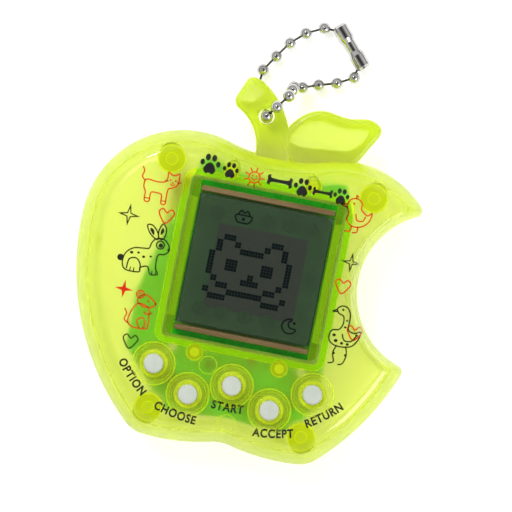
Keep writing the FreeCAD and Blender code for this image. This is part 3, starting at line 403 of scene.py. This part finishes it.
def polariser():
    """Dark film: grey-green, with a slightly purple field behind the dot matrix."""
    look = Look("polariser_film").set(IOR=FILM_IOR)
    film = look.blend(look.between(look.noise(5), 0, 1), (0.086, 0.158, 0.082), (0.076, 0.142, 0.074))
    across, up = (look.inside(axis, FIELD_PLACE[i], FIELD_SIZE[i] / 2) for i, axis in enumerate("XY"))
    field = look.blend(look.combine("MULTIPLY", across, up), film, (0.088, 0.105, 0.085))
    look.links.new(field, look.shader.inputs["Base Color"])
    look.roughness(0.16, 0.24, 2).relief(0.002, 0.5)
    return look.mat


def zebra_rubber():
    """Fine stripes of conducting and clear rubber along the strip."""
    look = Look("zebra_rubber").set(IOR=FILM_IOR)
    stripes = look.nodes.new("ShaderNodeTexWave")
    stripes.bands_direction = "X"
    stripes.inputs["Scale"].default_value = 1 / (STRIPE_SCALE * MM)
    stripes.inputs["Distortion"].default_value = 0.5
    look.links.new(look.place, stripes.inputs["Vector"])
    drift = look.between(look.noise(3, (0.3, 3, 1)), 0, 1)
    pink = look.blend(drift, (0.78, 0.44, 0.24), (0.62, 0.33, 0.17))
    dark = look.between(stripes.outputs["Fac"], 0, 0.35, start=0.6, end=1)
    striped = look.blend(dark, pink, (0.25, 0.12, 0.07))
    look.links.new(striped, look.shader.inputs["Base Color"])
    look.roughness(0.35, 0.55, 0.8).relief(0.01, 0.3)
    return look.mat


# Each finish is made with two shades, two roughnesses, a grain size and, for some, a depth and a
# gloss; clear sheets have a surface tint, a dye and its density.
MATERIALS = {
    "shell": shell_plastic(),
    "holder": holder_plastic(),
    "pane": clear_sheet("window_pane", (1.0, 1.0, 1.0), (0.7, 1.0, 0.4), 30),
    "glass": clear_sheet("display_glass", (0.97, 1.0, 0.98), (0.5, 1.0, 0.7), 60),
    "polariser": polariser(),
    "reflector": solid("reflector_film", (0.30, 0.34, 0.28), (0.34, 0.38, 0.32), 0.3, 0.4),
    "zebra": zebra_rubber(),
    "board": solid("board_mask", (0.010, 0.46, 0.040), (0.016, 0.54, 0.055), 0.25, 0.38, 1.2, 0.01),
    "carbon": solid("carbon_ink", (0.015, 0.015, 0.016), (0.03, 0.03, 0.03), 0.5, 0.65, 0.5),
    "silicone": solid("white_silicone", (0.58, 0.62, 0.55), (0.52, 0.57, 0.49), 0.45, 0.6, 0.6, 0.01),
    "mat": clear_sheet("clear_silicone", (0.97, 1.0, 0.96), (0.7, 1.0, 0.6), 60),
    "resin": solid("black_resin", (0.008, 0.008, 0.009), (0.016, 0.015, 0.015), 0.12, 0.3, 1.5, 0.02),
    "ceramic": solid("chip_ceramic", (0.42, 0.30, 0.18), (0.35, 0.24, 0.14), 0.4, 0.55, 0.4),
    "resistor": solid("chip_resistor", (0.02, 0.02, 0.022), (0.05, 0.05, 0.05), 0.3, 0.45, 0.4),
    "piezo": solid("piezo_silver", (0.72, 0.70, 0.64), (0.62, 0.60, 0.55), 0.35, 0.5, 0.7),
    "steel": metal("screw_steel", (0.55, 0.54, 0.52), (0.42, 0.41, 0.40), 0.22, 0.38, 0.5),
    "can": metal("cell_can", (0.66, 0.66, 0.65), (0.55, 0.55, 0.55), 0.16, 0.3, 0.6, (1, 6, 1)),
    "spring": metal("contact_nickel", (0.70, 0.66, 0.58), (0.58, 0.54, 0.48), 0.2, 0.34, 0.6),
    "brass": metal("sounder_brass", (0.78, 0.56, 0.25), (0.66, 0.46, 0.20), 0.2, 0.34, 0.7),
    "chrome": metal("chain_chrome", (0.62, 0.61, 0.59), (0.50, 0.49, 0.47), 0.05, 0.14, 0.9),
    "wire": metal("link_wire", (0.12, 0.115, 0.11), (0.07, 0.07, 0.065), 0.2, 0.35, 0.4),
    "black": solid("black_ink", (0.010, 0.011, 0.010), (0.020, 0.022, 0.018), 0.4, 0.55, 0.5, 0.004, 0.2),
    "red": solid("red_ink", (0.70, 0.022, 0.008), (0.58, 0.018, 0.006), 0.4, 0.55, 0.5, 0.004, 0.2),
    "dots": solid("display_dots", (0.002, 0.010, 0.012), (0.004, 0.014, 0.016), 0.4, 0.5, 1.5, 0.002, 0.05),
    "ghost": solid("display_ghost", (0.066, 0.122, 0.064), (0.058, 0.110, 0.057), 0.3, 0.4, 1.5, 0.002,
                   0.3),
}
NODE_LOOKS = {
    "shell": ["front_shell", "back_shell", "battery_door"],
    "holder": ["lcd_holder"],
    "pane": ["screen_window"],
    "glass": ["lcd_front_glass", "lcd_rear_glass"],
    "polariser": ["front_polariser"],
    "reflector": ["lcd_reflector"],
    "zebra": ["zebra_strip_upper", "zebra_strip_lower"],
    "board": ["main_board"],
    "carbon": ["key_contact_pads"] + [n for n in NODES if n.startswith("carbon_pill_")],
    "silicone": KEY_BODIES,
    "mat": ["keypad_mat"],
    "resin": ["chip_blob"],
    "ceramic": ["chip_capacitors"],
    "resistor": ["chip_resistors"],
    "piezo": ["sounder_ceramic"],
    "steel": ["case_screws", "battery_door_screw", "board_screws"],
    "can": ["cell_left", "cell_right", "timing_crystal"],
    "spring": ["cell_bridge", "cell_contact_left", "cell_contact_right", "sounder_springs"],
    "brass": ["sounder_plate"],
    "chrome": ["chain_beads_front", "chain_beads_rear", "chain_sleeve"],
    "wire": ["chain_links"],
}


def dress_nodes():
    """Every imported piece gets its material."""
    for look, names in NODE_LOOKS.items():
        for name in names:
            NODES[name].data.materials.clear()
            NODES[name].data.materials.append(MATERIALS[look])


# ---------------------------------------------------------------- flat printed shapes
# A shape is a list of pieces in millimetres about its own centre: ("line", width, points),
# ("loop", width, points) for a closed line, ("area", points) for a filled one or
# ("corners", points) for a filled one with straight sides.  The others run smoothly through
# their points.
CURVE_STEPS = 6
INK = 0.03                       # thickness of a print
INK_FACE = 0.02                  # how far its face stands out


def smooth(points, closed):
    """Points along the smooth curve through the given ones."""
    last = len(points) if closed else len(points) - 1
    found = []
    for i in range(last):
        if closed:
            before, start, end, after = (Vector(points[(i + k) % len(points)]) for k in (-1, 0, 1, 2))
        else:
            before, start, end, after = (Vector(points[min(max(i + k, 0), last)]) for k in (-1, 0, 1, 2))
        for step in range(CURVE_STEPS):
            t = step / CURVE_STEPS
            found.append(0.5 * (2 * start + (end - before) * t
                                + (2 * before - 5 * start + 4 * end - after) * t ** 2
                                + (3 * start - before - 3 * end + after) * t ** 3))
    if not closed:
        found.append(Vector(points[-1]))
    return found


def round_points(x, y, radius, count=16, squash=1.0):
    """Points round a circle or an ellipse."""
    turns = [2 * math.pi * i / count for i in range(count)]
    return [(x + radius * math.cos(t), y + radius * squash * math.sin(t)) for t in turns]


class Flat:
    """Collects flat polygons, then lays them on a surface as one thin mesh."""

    def __init__(self):
        self.points = []
        self.faces = []

    def face(self, points):
        """One flat face with the given corners."""
        start = len(self.points)
        self.points.extend(points)
        self.faces.append(list(range(start, start + len(points))))

    def area(self, points):
        """A filled outline."""
        start = len(self.points)
        self.points.extend(points)
        for corners in tessellate_polygon([[Vector((*p, 0)) for p in points]]):
            self.faces.append([start + c for c in corners])

    def line(self, points, width, closed):
        """A band along the points, with round ends unless it is closed."""
        count = len(points)
        sides = []
        for i, point in enumerate(points):
            before = points[i - 1] if closed or i else points[i]
            after = points[(i + 1) % count] if closed or i < count - 1 else points[i]
            way = (after - before).normalized()
            across = Vector((-way.y, way.x)) * width / 2
            sides.append((point + across, point - across))
        start = len(self.points)
        for pair in sides:
            self.points.extend(pair)
        for i in range(count if closed else count - 1):
            a, b = start + 2 * i, start + 2 * ((i + 1) % count)
            self.faces.append([a, a + 1, b + 1, b])
        if not closed:
            for end in (points[0], points[-1]):
                self.area([Vector(p) for p in round_points(end.x, end.y, width / 2, 10)])

    def shape(self, pieces):
        """Every piece of a shape."""
        for piece in pieces:
            if piece[0] == "area":
                self.area(smooth(piece[1], True))
            elif piece[0] == "corners":
                self.area([Vector(p) for p in piece[1]])
            else:
                self.line(smooth(piece[2], piece[0] == "loop"), piece[1], piece[0] == "loop")
        return self

    def piece(self, name, look, height, place, thickness=INK):
        """The thin mesh, face up in its place; height is a number or says how high (x, y) lies."""
        points = []
        for p in self.points:
            x, y = (place[0] + p[0]) * MM, (place[1] + p[1]) * MM
            points.append((x, y, height(x, y) if callable(height) else height))
        mesh = bpy.data.meshes.new(name)
        mesh.from_pydata(points, [], self.faces)
        facing = bmesh.new()
        facing.from_mesh(mesh)
        bmesh.ops.recalc_face_normals(facing, faces=facing.faces)
        for face in facing.faces:
            if face.normal.z < 0:
                face.normal_flip()
        facing.to_mesh(mesh)
        facing.free()
        add_piece(name, mesh, look, thickness)


def add_piece(name, mesh, look, thickness=INK):
    """A print on the case, or on the display that the case carries."""
    thing = bpy.data.objects.new(name, mesh)
    bpy.context.scene.collection.objects.link(thing)
    mesh.materials.clear()
    mesh.materials.append(MATERIALS[look])
    skin = thing.modifiers.new("thickness", "SOLIDIFY")
    skin.thickness = thickness * MM
    skin.offset = -1
    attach(thing, "case")


def surface_of(node):
    """A function that says how high a print's face lies on a node's front at (x, y), in metres."""
    mesh = NODES[node].data
    tree = BVHTree.FromPolygons([v.co for v in mesh.vertices], [p.vertices for p in mesh.polygons])
    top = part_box(node)[1].z + MM

    def height(x, y):
        hit = tree.ray_cast(Vector((x, y, top)), Vector((0, 0, -1)))[0]
        return hit.z + INK_FACE * MM

    return height


# ---------------------------------------------------------------- pictures on the face
STAR_WAIST = 0.27                # of a star's half width


def heart(half):
    """An outline's points, from its lower tip."""
    return [(0, -half), (half * 0.75, -half * 0.2), (half, half * 0.45), (half * 0.55, half * 0.85),
            (0, half * 0.4), (-half * 0.55, half * 0.85), (-half, half * 0.45), (-half * 0.75, -half * 0.2)]


def star(half):
    """Four long points."""
    corners = []
    for i in range(8):
        radius = half if i % 2 == 0 else half * STAR_WAIST
        turn = math.pi / 4 * i + math.pi / 2
        corners.append((radius * math.cos(turn), radius * math.sin(turn)))
    return corners


def star_outline(half, rim):
    """A star with an open middle; at its points the rim is that wide."""
    outer, inner = star(half), star(half - rim)
    return [("corners", [outer[i], outer[(i + 1) % 8], inner[(i + 1) % 8], inner[i]]) for i in range(8)]


def paw(half):
    """A paw print: one pad and four toes."""
    pad = [(-0.62, -0.55), (-0.35, -0.95), (0, -0.85), (0.35, -0.95), (0.62, -0.55), (0.35, 0.0),
           (0, 0.18), (-0.35, 0.0)]
    toes = [(-0.80, 0.12, 0.22), (-0.32, 0.68, 0.25), (0.32, 0.68, 0.25), (0.80, 0.12, 0.22)]
    shape = [("area", [(x * half, y * half) for x, y in pad])]
    for x, y, r in toes:
        shape.append(("area", round_points(x * half, y * half, r * half, 10, 1.35)))
    return shape


def bone(half):
    """One end's outline, and the same turned half a turn."""
    points = [(-0.62, 0.16), (-0.78, 0.42), (-1.0, 0.30), (-0.96, 0.0), (-1.0, -0.30), (-0.78, -0.42),
              (-0.62, -0.16)]
    outline = [(x * half, y * half) for x, y in points]
    return [("area", outline + [(-x, -y) for x, y in outline])]


def flower(half, width):
    """A round face in a ring of short petals."""
    shape = [("loop", width, round_points(0, 0, half * 0.55))]
    for i in range(9):
        turn = 2 * math.pi * i / 9
        near, far = half * 0.66, half
        shape.append(("line", width, [(near * math.cos(turn), near * math.sin(turn)),
                                      (far * math.cos(turn), far * math.sin(turn))]))
    smile = [(-0.28, -0.08), (0, -0.27), (0.28, -0.08)]
    shape.append(("line", width, [(x * half, y * half) for x, y in smile]))
    for side in (-1, 1):
        shape.append(("area", round_points(side * half * 0.2, half * 0.16, width * 0.7, 8)))
    return shape


def walking_cat(w):
    """The whole outline, the tail, the face, the whiskers and the bands on the feet."""
    body = [(-2.7, 1.0), (-0.6, 0.9), (0.9, 1.2), (1.2, 2.0), (1.2, 3.1), (1.9, 2.7), (2.6, 2.7),
            (3.3, 3.1), (3.4, 2.0), (3.3, 1.0), (2.5, 0.3), (1.7, -0.1), (1.6, -1.6), (1.6, -3.0),
            (0.8, -3.0), (0.7, -1.6), (0.2, -1.2), (-1.2, -1.2), (-1.5, -1.7), (-1.5, -3.0),
            (-2.4, -3.0), (-2.5, -1.4), (-3.0, -0.3)]
    return [("loop", w, body), ("line", w, [(-2.9, 0.7), (-3.6, 1.4), (-3.4, 2.5), (-3.8, 3.2)]),
            ("area", round_points(1.8, 1.7, 0.18, 8)), ("area", round_points(2.8, 1.7, 0.18, 8)),
            ("area", round_points(2.3, 1.2, 0.16, 8)),
            ("line", w * 0.8, [(1.9, 0.95), (2.3, 0.75), (2.7, 0.95)]),
            ("line", w * 0.8, [(0.8, 1.5), (1.4, 1.4)]), ("line", w * 0.8, [(3.2, 1.4), (3.8, 1.5)]),
            ("line", w * 0.8, [(-1.6, -2.5), (-2.3, -2.5)]), ("line", w * 0.8, [(0.9, -2.5), (1.5, -2.5)])]


def rabbit(w):
    """The outline and two ears, the eye and nose, the haunch, the tail and some spots."""
    body = [(-4.0, -2.6), (-3.7, -0.8), (-2.4, 0.4), (-0.6, 0.7), (0.5, 0.9), (0.8, 2.0), (1.5, 2.9),
            (2.9, 3.1), (4.0, 2.2), (4.3, 1.1), (3.6, 0.3), (2.5, 0.0), (2.3, -1.2), (2.5, -2.8),
            (3.0, -3.7), (1.6, -3.9), (0.9, -2.6), (-0.4, -3.0), (-0.6, -3.9), (-3.2, -3.9)]
    first_ear = [(1.3, 2.9), (0.0, 3.9), (-0.6, 5.2), (0.4, 5.3), (1.5, 4.2), (1.9, 3.0)]
    second_ear = [(2.0, 3.1), (1.7, 4.4), (2.2, 5.9), (3.0, 5.2), (3.1, 4.0), (2.8, 3.1)]
    shape = [("loop", w, body), ("loop", w, first_ear), ("loop", w, second_ear),
             ("area", [(0.9, 3.5), (0.1, 4.3), (0.1, 4.8), (0.8, 4.4)]),
             ("area", [(2.2, 3.8), (2.1, 4.6), (2.4, 5.2), (2.7, 4.5)]),
             ("loop", w, round_points(2.5, 1.9, 0.75)), ("area", round_points(2.6, 1.8, 0.42, 12)),
             ("area", round_points(4.2, 1.3, 0.25, 8)),
             ("line", w, [(-3.0, -3.6), (-2.8, -1.8), (-1.5, -1.4), (-0.6, -2.4), (-0.5, -3.4)]),
             ("area", round_points(-4.5, -1.8, 0.62, 10))]
    for x, y, r in ((-2.6, -0.5, 0.32), (-1.3, -0.3, 0.26), (-0.2, -0.9, 0.3), (1.1, -0.6, 0.24)):
        shape.append(("area", round_points(x, y, r, 8, 0.8)))
    for x in (-2.3, -1.6, 1.9, 2.6):
        shape.append(("line", w * 0.8, [(x, -3.8), (x, -3.3)]))
    return shape


def sitting_mouse(w):
    """The head, the body, one round ear, the haunch, an arm and the tail."""
    body = [(-1.0, 1.2), (-2.0, -0.4), (-2.3, -2.4), (-1.4, -3.3), (0.6, -3.4), (1.6, -3.0), (1.5, -1.2),
            (1.3, 0.4), (0.7, 1.0)]
    head = [(-1.1, 1.4), (-1.0, 2.4), (0.0, 3.1), (1.2, 2.7), (2.3, 1.7), (1.6, 1.0), (0.2, 0.8)]
    return [("loop", w, head), ("loop", w, body), ("loop", w, round_points(-0.9, 3.0, 0.72)),
            ("loop", w * 0.8, round_points(-0.9, 3.0, 0.32, 10)), ("area", round_points(0.8, 2.0, 0.2, 8)),
            ("area", round_points(2.3, 1.7, 0.22, 8)),
            ("line", w, [(0.0, -3.3), (-0.6, -2.0), (0.3, -1.3), (1.0, -2.2), (0.8, -3.2)]),
            ("line", w, [(0.4, -0.2), (1.1, -0.5), (1.9, -0.1)]),
            ("line", w, [(-2.2, -2.8), (-3.0, -2.2), (-2.8, -1.0), (-3.3, -0.2)])]


def small_bird(w):
    """The outline, the eye, the beak, a wing, two legs and a tuft."""
    body = [(-1.9, 1.6), (-1.4, 2.8), (-0.2, 3.1), (0.8, 2.4), (0.9, 1.2), (2.2, 0.3), (3.0, 0.9),
            (2.7, -0.8), (1.4, -2.0), (-0.3, -2.2), (-1.5, -1.2), (-1.4, 0.2)]
    return [("loop", w, body), ("area", round_points(-0.7, 2.1, 0.2, 8)),
            ("line", w, [(-1.9, 1.9), (-2.9, 1.5), (-1.8, 1.2)]),
            ("line", w, [(0.0, 0.2), (0.4, -0.9), (1.5, -0.9), (1.9, 0.0)]),
            ("line", w, [(-0.4, -2.2), (-0.6, -3.2), (-1.5, -3.3)]),
            ("line", w, [(0.8, -2.1), (0.8, -3.1), (0.0, -3.4)]),
            ("line", w, [(-0.4, 3.1), (-0.5, 3.7), (-0.1, 3.5)])]


def ostrich(w):
    """The outline, the beak, the eye, two long legs, a wing and some spots."""
    body = [(-2.6, -0.9), (-2.3, 0.6), (-1.0, 1.0), (-0.4, 2.2), (-0.6, 3.6), (-1.6, 4.0), (-2.0, 4.8),
            (-1.2, 5.5), (-0.1, 5.3), (0.6, 4.2), (0.7, 2.6), (0.8, 1.2), (2.0, 0.8), (3.2, 1.2),
            (2.9, -0.4), (1.8, -1.8), (-0.2, -2.2), (-1.8, -1.9)]
    shape = [("loop", w, body), ("line", w, [(-1.9, 4.3), (-2.8, 4.2), (-2.0, 4.7)]),
             ("area", round_points(-0.9, 4.8, 0.22, 8)),
             ("line", w, [(-0.9, -2.1), (-1.3, -3.6), (-0.9, -5.2), (-1.8, -5.6)]),
             ("line", w, [(0.9, -2.0), (1.3, -3.6), (0.9, -5.2), (0.1, -5.6)]),
             ("line", w, [(-0.2, 0.2), (0.4, -0.9), (1.7, -0.8), (2.4, 0.2)])]
    for x, y, r in ((-1.7, -0.2, 0.34), (-1.2, -1.2, 0.36), (0.0, -1.5, 0.3), (0.1, 1.6, 0.24),
                    (0.2, 2.9, 0.2), (1.1, -1.5, 0.3), (2.5, 0.5, 0.26)):
        shape.append(("area", round_points(x, y, r, 8, 0.85)))
    for x in (-1.1, 1.1):
        shape.append(("area", round_points(x, -3.6, 0.22, 8)))
    return shape


def print_pictures():
    """Each picture's name, ink, shape and place on the face."""
    height = surface_of("front_shell")
    fine, finer = 0.26, 0.25
    pictures = [
        ("red_cat", "red", walking_cat(finer), (-20.8, 11.9)),
        ("black_rabbit", "black", rabbit(fine), (-21.0, -0.8)),
        ("red_mouse", "red", sitting_mouse(finer), (-19.5, -11.8)),
        ("red_bird", "red", small_bird(finer), (16.8, 13.9)),
        ("black_ostrich", "black", ostrich(fine), (18.9, -9.0)),
        ("star_upper_left", "black", star_outline(2.2, 0.988), (-25.5, 5.6)),
        ("star_lower_left", "red", [("corners", star(1.8))], (-23.7, -8.4)),
        ("star_right", "black", star_outline(2.0, 0.936), (17.7, 4.9)),
        ("heart_upper_left", "red", [("loop", fine, heart(1.45))], (-18.5, 6.8)),
        ("heart_lower_left", "black", [("loop", fine, heart(1.4))], (-20.6, -17.9)),
        ("heart_right", "red", [("loop", fine, heart(1.45))], (17.0, 0.2)),
        ("heart_lower_right", "red", [("loop", fine, heart(1.45))], (20.9, -8.1)),
        ("paw_far_left", "black", paw(1.9), (-12.2, 18.0)),
        ("paw_left", "black", paw(1.5), (-8.2, 17.6)),
        ("flower_top", "red", flower(1.9, 0.24), (-3.5, 17.2)),
        ("bone_top", "black", bone(2.4), (1.4, 17.4)),
        ("paw_right", "black", paw(1.7), (5.9, 17.1)),
        ("bone_right", "black", bone(1.9), (9.8, 16.9)),
        ("paw_far_right", "black", paw(1.5), (13.4, 16.8)),
    ]
    for name, look, shape, place in pictures:
        Flat().shape(shape).piece(name, look, height, place)


# ---------------------------------------------------------------- words under the keys
LABEL_SIZE = 2.2
LABEL_BOLD = 0.034               # how far the letters' edges are moved out, of their size
LABEL_SPACING = 1.12
LABEL_NARROW = 0.88
LABEL_BEND = 31.0                # radius of the curve that each word follows
# Each word, the middle of it and its turn in degrees.
LABELS = [("option", (-19.0, -24.6), -46), ("choose", (-9.6, -29.9), -11), ("start", (0.0, -26.8), 0),
          ("accept", (9.5, -30.0), 9), ("return", (18.4, -24.8), 38)]


def print_labels():
    """Each word is bent along its curve, turned and laid on the face."""
    height = surface_of("front_shell")
    for word, (x, y), turn in LABELS:
        words = bpy.data.curves.new(word, "FONT")
        words.body = word.upper()
        words.size = LABEL_SIZE * MM
        words.align_x = "CENTER"
        words.align_y = "CENTER"
        words.offset = LABEL_BOLD * LABEL_SIZE * MM
        words.space_character = LABEL_SPACING
        text = bpy.data.objects.new(word, words)
        bpy.context.scene.collection.objects.link(text)
        mesh = bpy.data.meshes.new_from_object(text.evaluated_get(bpy.context.evaluated_depsgraph_get()))
        bpy.data.objects.remove(text)
        c, s = math.cos(math.radians(turn)), math.sin(math.radians(turn))
        for vertex in mesh.vertices:
            bend = LABEL_NARROW * vertex.co.x / (LABEL_BEND * MM)
            reach = LABEL_BEND * MM - vertex.co.y
            across, up = reach * math.sin(bend), LABEL_BEND * MM - reach * math.cos(bend)
            px, py = x * MM + c * across - s * up, y * MM + s * across + c * up
            vertex.co = (px, py, height(px, py))
        add_piece("word_" + word, mesh, "black")


# ---------------------------------------------------------------- display
DOT = 0.53
DOT_PITCH = 0.575
DISPLAY_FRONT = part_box("front_polariser")[1].z
PET = ["..##......##..",
       ".#..#....#..#.",
       ".#...####...#.",
       "#............#",
       "#..##....##..#",
       "#..##....##..#",
       "#......#.....#",
       ".#....###...#.",
       "..##......##..",
       "#...######...#",
       ".###......###."]
PET_PLACE = (-1.15, -0.65)
UPPER_ICONS, LOWER_ICONS = 9.4, -9.3     # heights of the two rows
OFF_ICONS = ([(x, UPPER_ICONS) for x in (-9.0, 0.6, 5.0, 9.2)]
             + [(x, LOWER_ICONS) for x in (-9.0, -4.6, -0.2, 4.2)])
GHOST_FACE = 0.015               # an icon that is off stands out less
GHOST_INK = 0.02


def draw_pet():
    """Every block of the picture is two by two dots."""
    dots = Flat()
    columns, rows = len(PET[0]) * 2, len(PET) * 2
    half = DOT / 2
    for row in range(rows):
        for column in range(columns):
            if PET[row // 2][column // 2] == "#":
                x = (column - (columns - 1) / 2) * DOT_PITCH
                y = ((rows - 1) / 2 - row) * DOT_PITCH
                dots.face([(x + i * half, y + j * half) for i, j in ((-1, -1), (1, -1), (1, 1), (-1, 1))])
    dots.piece("display_pet", "dots", DISPLAY_FRONT + INK_FACE * MM, PET_PLACE)


def draw_icons():
    """Two icons that are on, and the faint ones that are off."""
    line = 0.28
    bowl = [("loop", line, [(-1.6, 0.2), (0, 0.35), (1.6, 0.2), (1.1, -1.0), (0, -1.15), (-1.1, -1.0)]),
            ("line", line, [(-1.1, 0.5), (-0.6, 1.2), (0.0, 0.8), (0.6, 1.2), (1.1, 0.5)]),
            ("area", round_points(0, -0.4, 0.3, 10))]
    moon = [("loop", line, [(0.4, 1.4), (-0.9, 1.0), (-1.4, -0.2), (-0.6, -1.3), (0.7, -1.3), (1.4, -0.5),
                            (0.2, -0.3), (-0.2, 0.5)]),
            ("area", round_points(0.9, 0.7, 0.28, 8))]
    face = DISPLAY_FRONT + INK_FACE * MM
    Flat().shape(bowl).piece("icon_bowl", "dots", face, (-4.0, UPPER_ICONS))
    Flat().shape(moon).piece("icon_moon", "dots", face, (8.5, LOWER_ICONS))
    ghost = [("loop", 0.5, round_points(0, 0, 1.2, 12, 0.85)), ("area", round_points(0, 0, 0.5, 8))]
    for number, place in enumerate(OFF_ICONS):
        Flat().shape(ghost).piece("icon_off_" + str(number), "ghost", DISPLAY_FRONT + GHOST_FACE * MM,
                                  place, GHOST_INK)


# ---------------------------------------------------------------- studio
FLOOR_SIZE = 3.0                 # metres
FLOOR_GAP = 0.3                  # under the case
SKY_STRENGTH = 0.85
# Name, place and size in metres, watts, and whether polished pieces mirror the lamp.
LAMPS = [("key_light", (-0.30, 0.35, 0.50), 0.30, 2.6, False),
         ("fill_light", (0.45, -0.20, 0.40), 0.30, 1.2, True),
         ("glint_light", (-0.16, 0.22, 0.60), 0.05, 0.25, True)]
CLEAR_WALLS = 48                 # that one ray may pass; the case has many behind one another
BOUNCES = 24


def lay_floor():
    bpy.ops.mesh.primitive_plane_add(size=FLOOR_SIZE, location=(0, 0, -FLOOR_GAP * MM))
    floor = bpy.context.object
    floor.name = "floor"
    look = Look("floor_white")
    look.set(Roughness=0.6, Emission_Color=(1.0, 1.0, 1.0), Emission_Strength=0.45)
    look.colour((0.86, 0.86, 0.86), (0.84, 0.84, 0.84), 40)
    floor.data.materials.append(look.mat)


def set_light():
    for name, place, size, power, mirrored in LAMPS:
        lamp = bpy.data.objects.new(name, bpy.data.lights.new(name, "AREA"))
        lamp.data.size = size
        lamp.data.energy = power
        lamp.location = place
        lamp.visible_glossy = mirrored
        lamp.rotation_euler = (-Vector(place)).to_track_quat("-Z", "Y").to_euler()
        bpy.context.scene.collection.objects.link(lamp)
    bpy.context.scene.world = sky()
    bpy.context.scene.view_settings.view_transform = "Standard"
    bpy.context.scene.cycles.transparent_max_bounces = CLEAR_WALLS
    bpy.context.scene.cycles.max_bounces = BOUNCES
    bpy.context.scene.cycles.transmission_bounces = BOUNCES


def sky():
    """Soft light all round, dim straight above, where the camera stands, and low down."""
    world = bpy.data.worlds.new("studio")
    world.use_nodes = True
    nodes, links = world.node_tree.nodes, world.node_tree.links
    way = nodes.new("ShaderNodeTexCoord")
    split = nodes.new("ShaderNodeSeparateXYZ")
    ramp = nodes.new("ShaderNodeValToRGB")
    ramp.color_ramp.interpolation = "B_SPLINE"
    stops = [(0.0, 0.20), (0.25, 0.45), (0.55, 1.0), (0.80, 0.80), (0.93, 0.16), (1.0, 0.05)]
    while len(ramp.color_ramp.elements) < len(stops):
        ramp.color_ramp.elements.new(0.5)
    for element, (place, grey) in zip(ramp.color_ramp.elements, stops):
        element.position = place
        element.color = (grey, grey, grey, 1)
    links.new(way.outputs["Generated"], split.inputs["Vector"])
    links.new(split.outputs["Z"], ramp.inputs["Fac"])
    links.new(ramp.outputs["Color"], nodes["Background"].inputs["Color"])
    nodes["Background"].inputs["Strength"].default_value = SKY_STRENGTH
    return world


place_camera()
dress_nodes()
print_pictures()
print_labels()
draw_pet()
draw_icons()
lay_floor()
set_light()
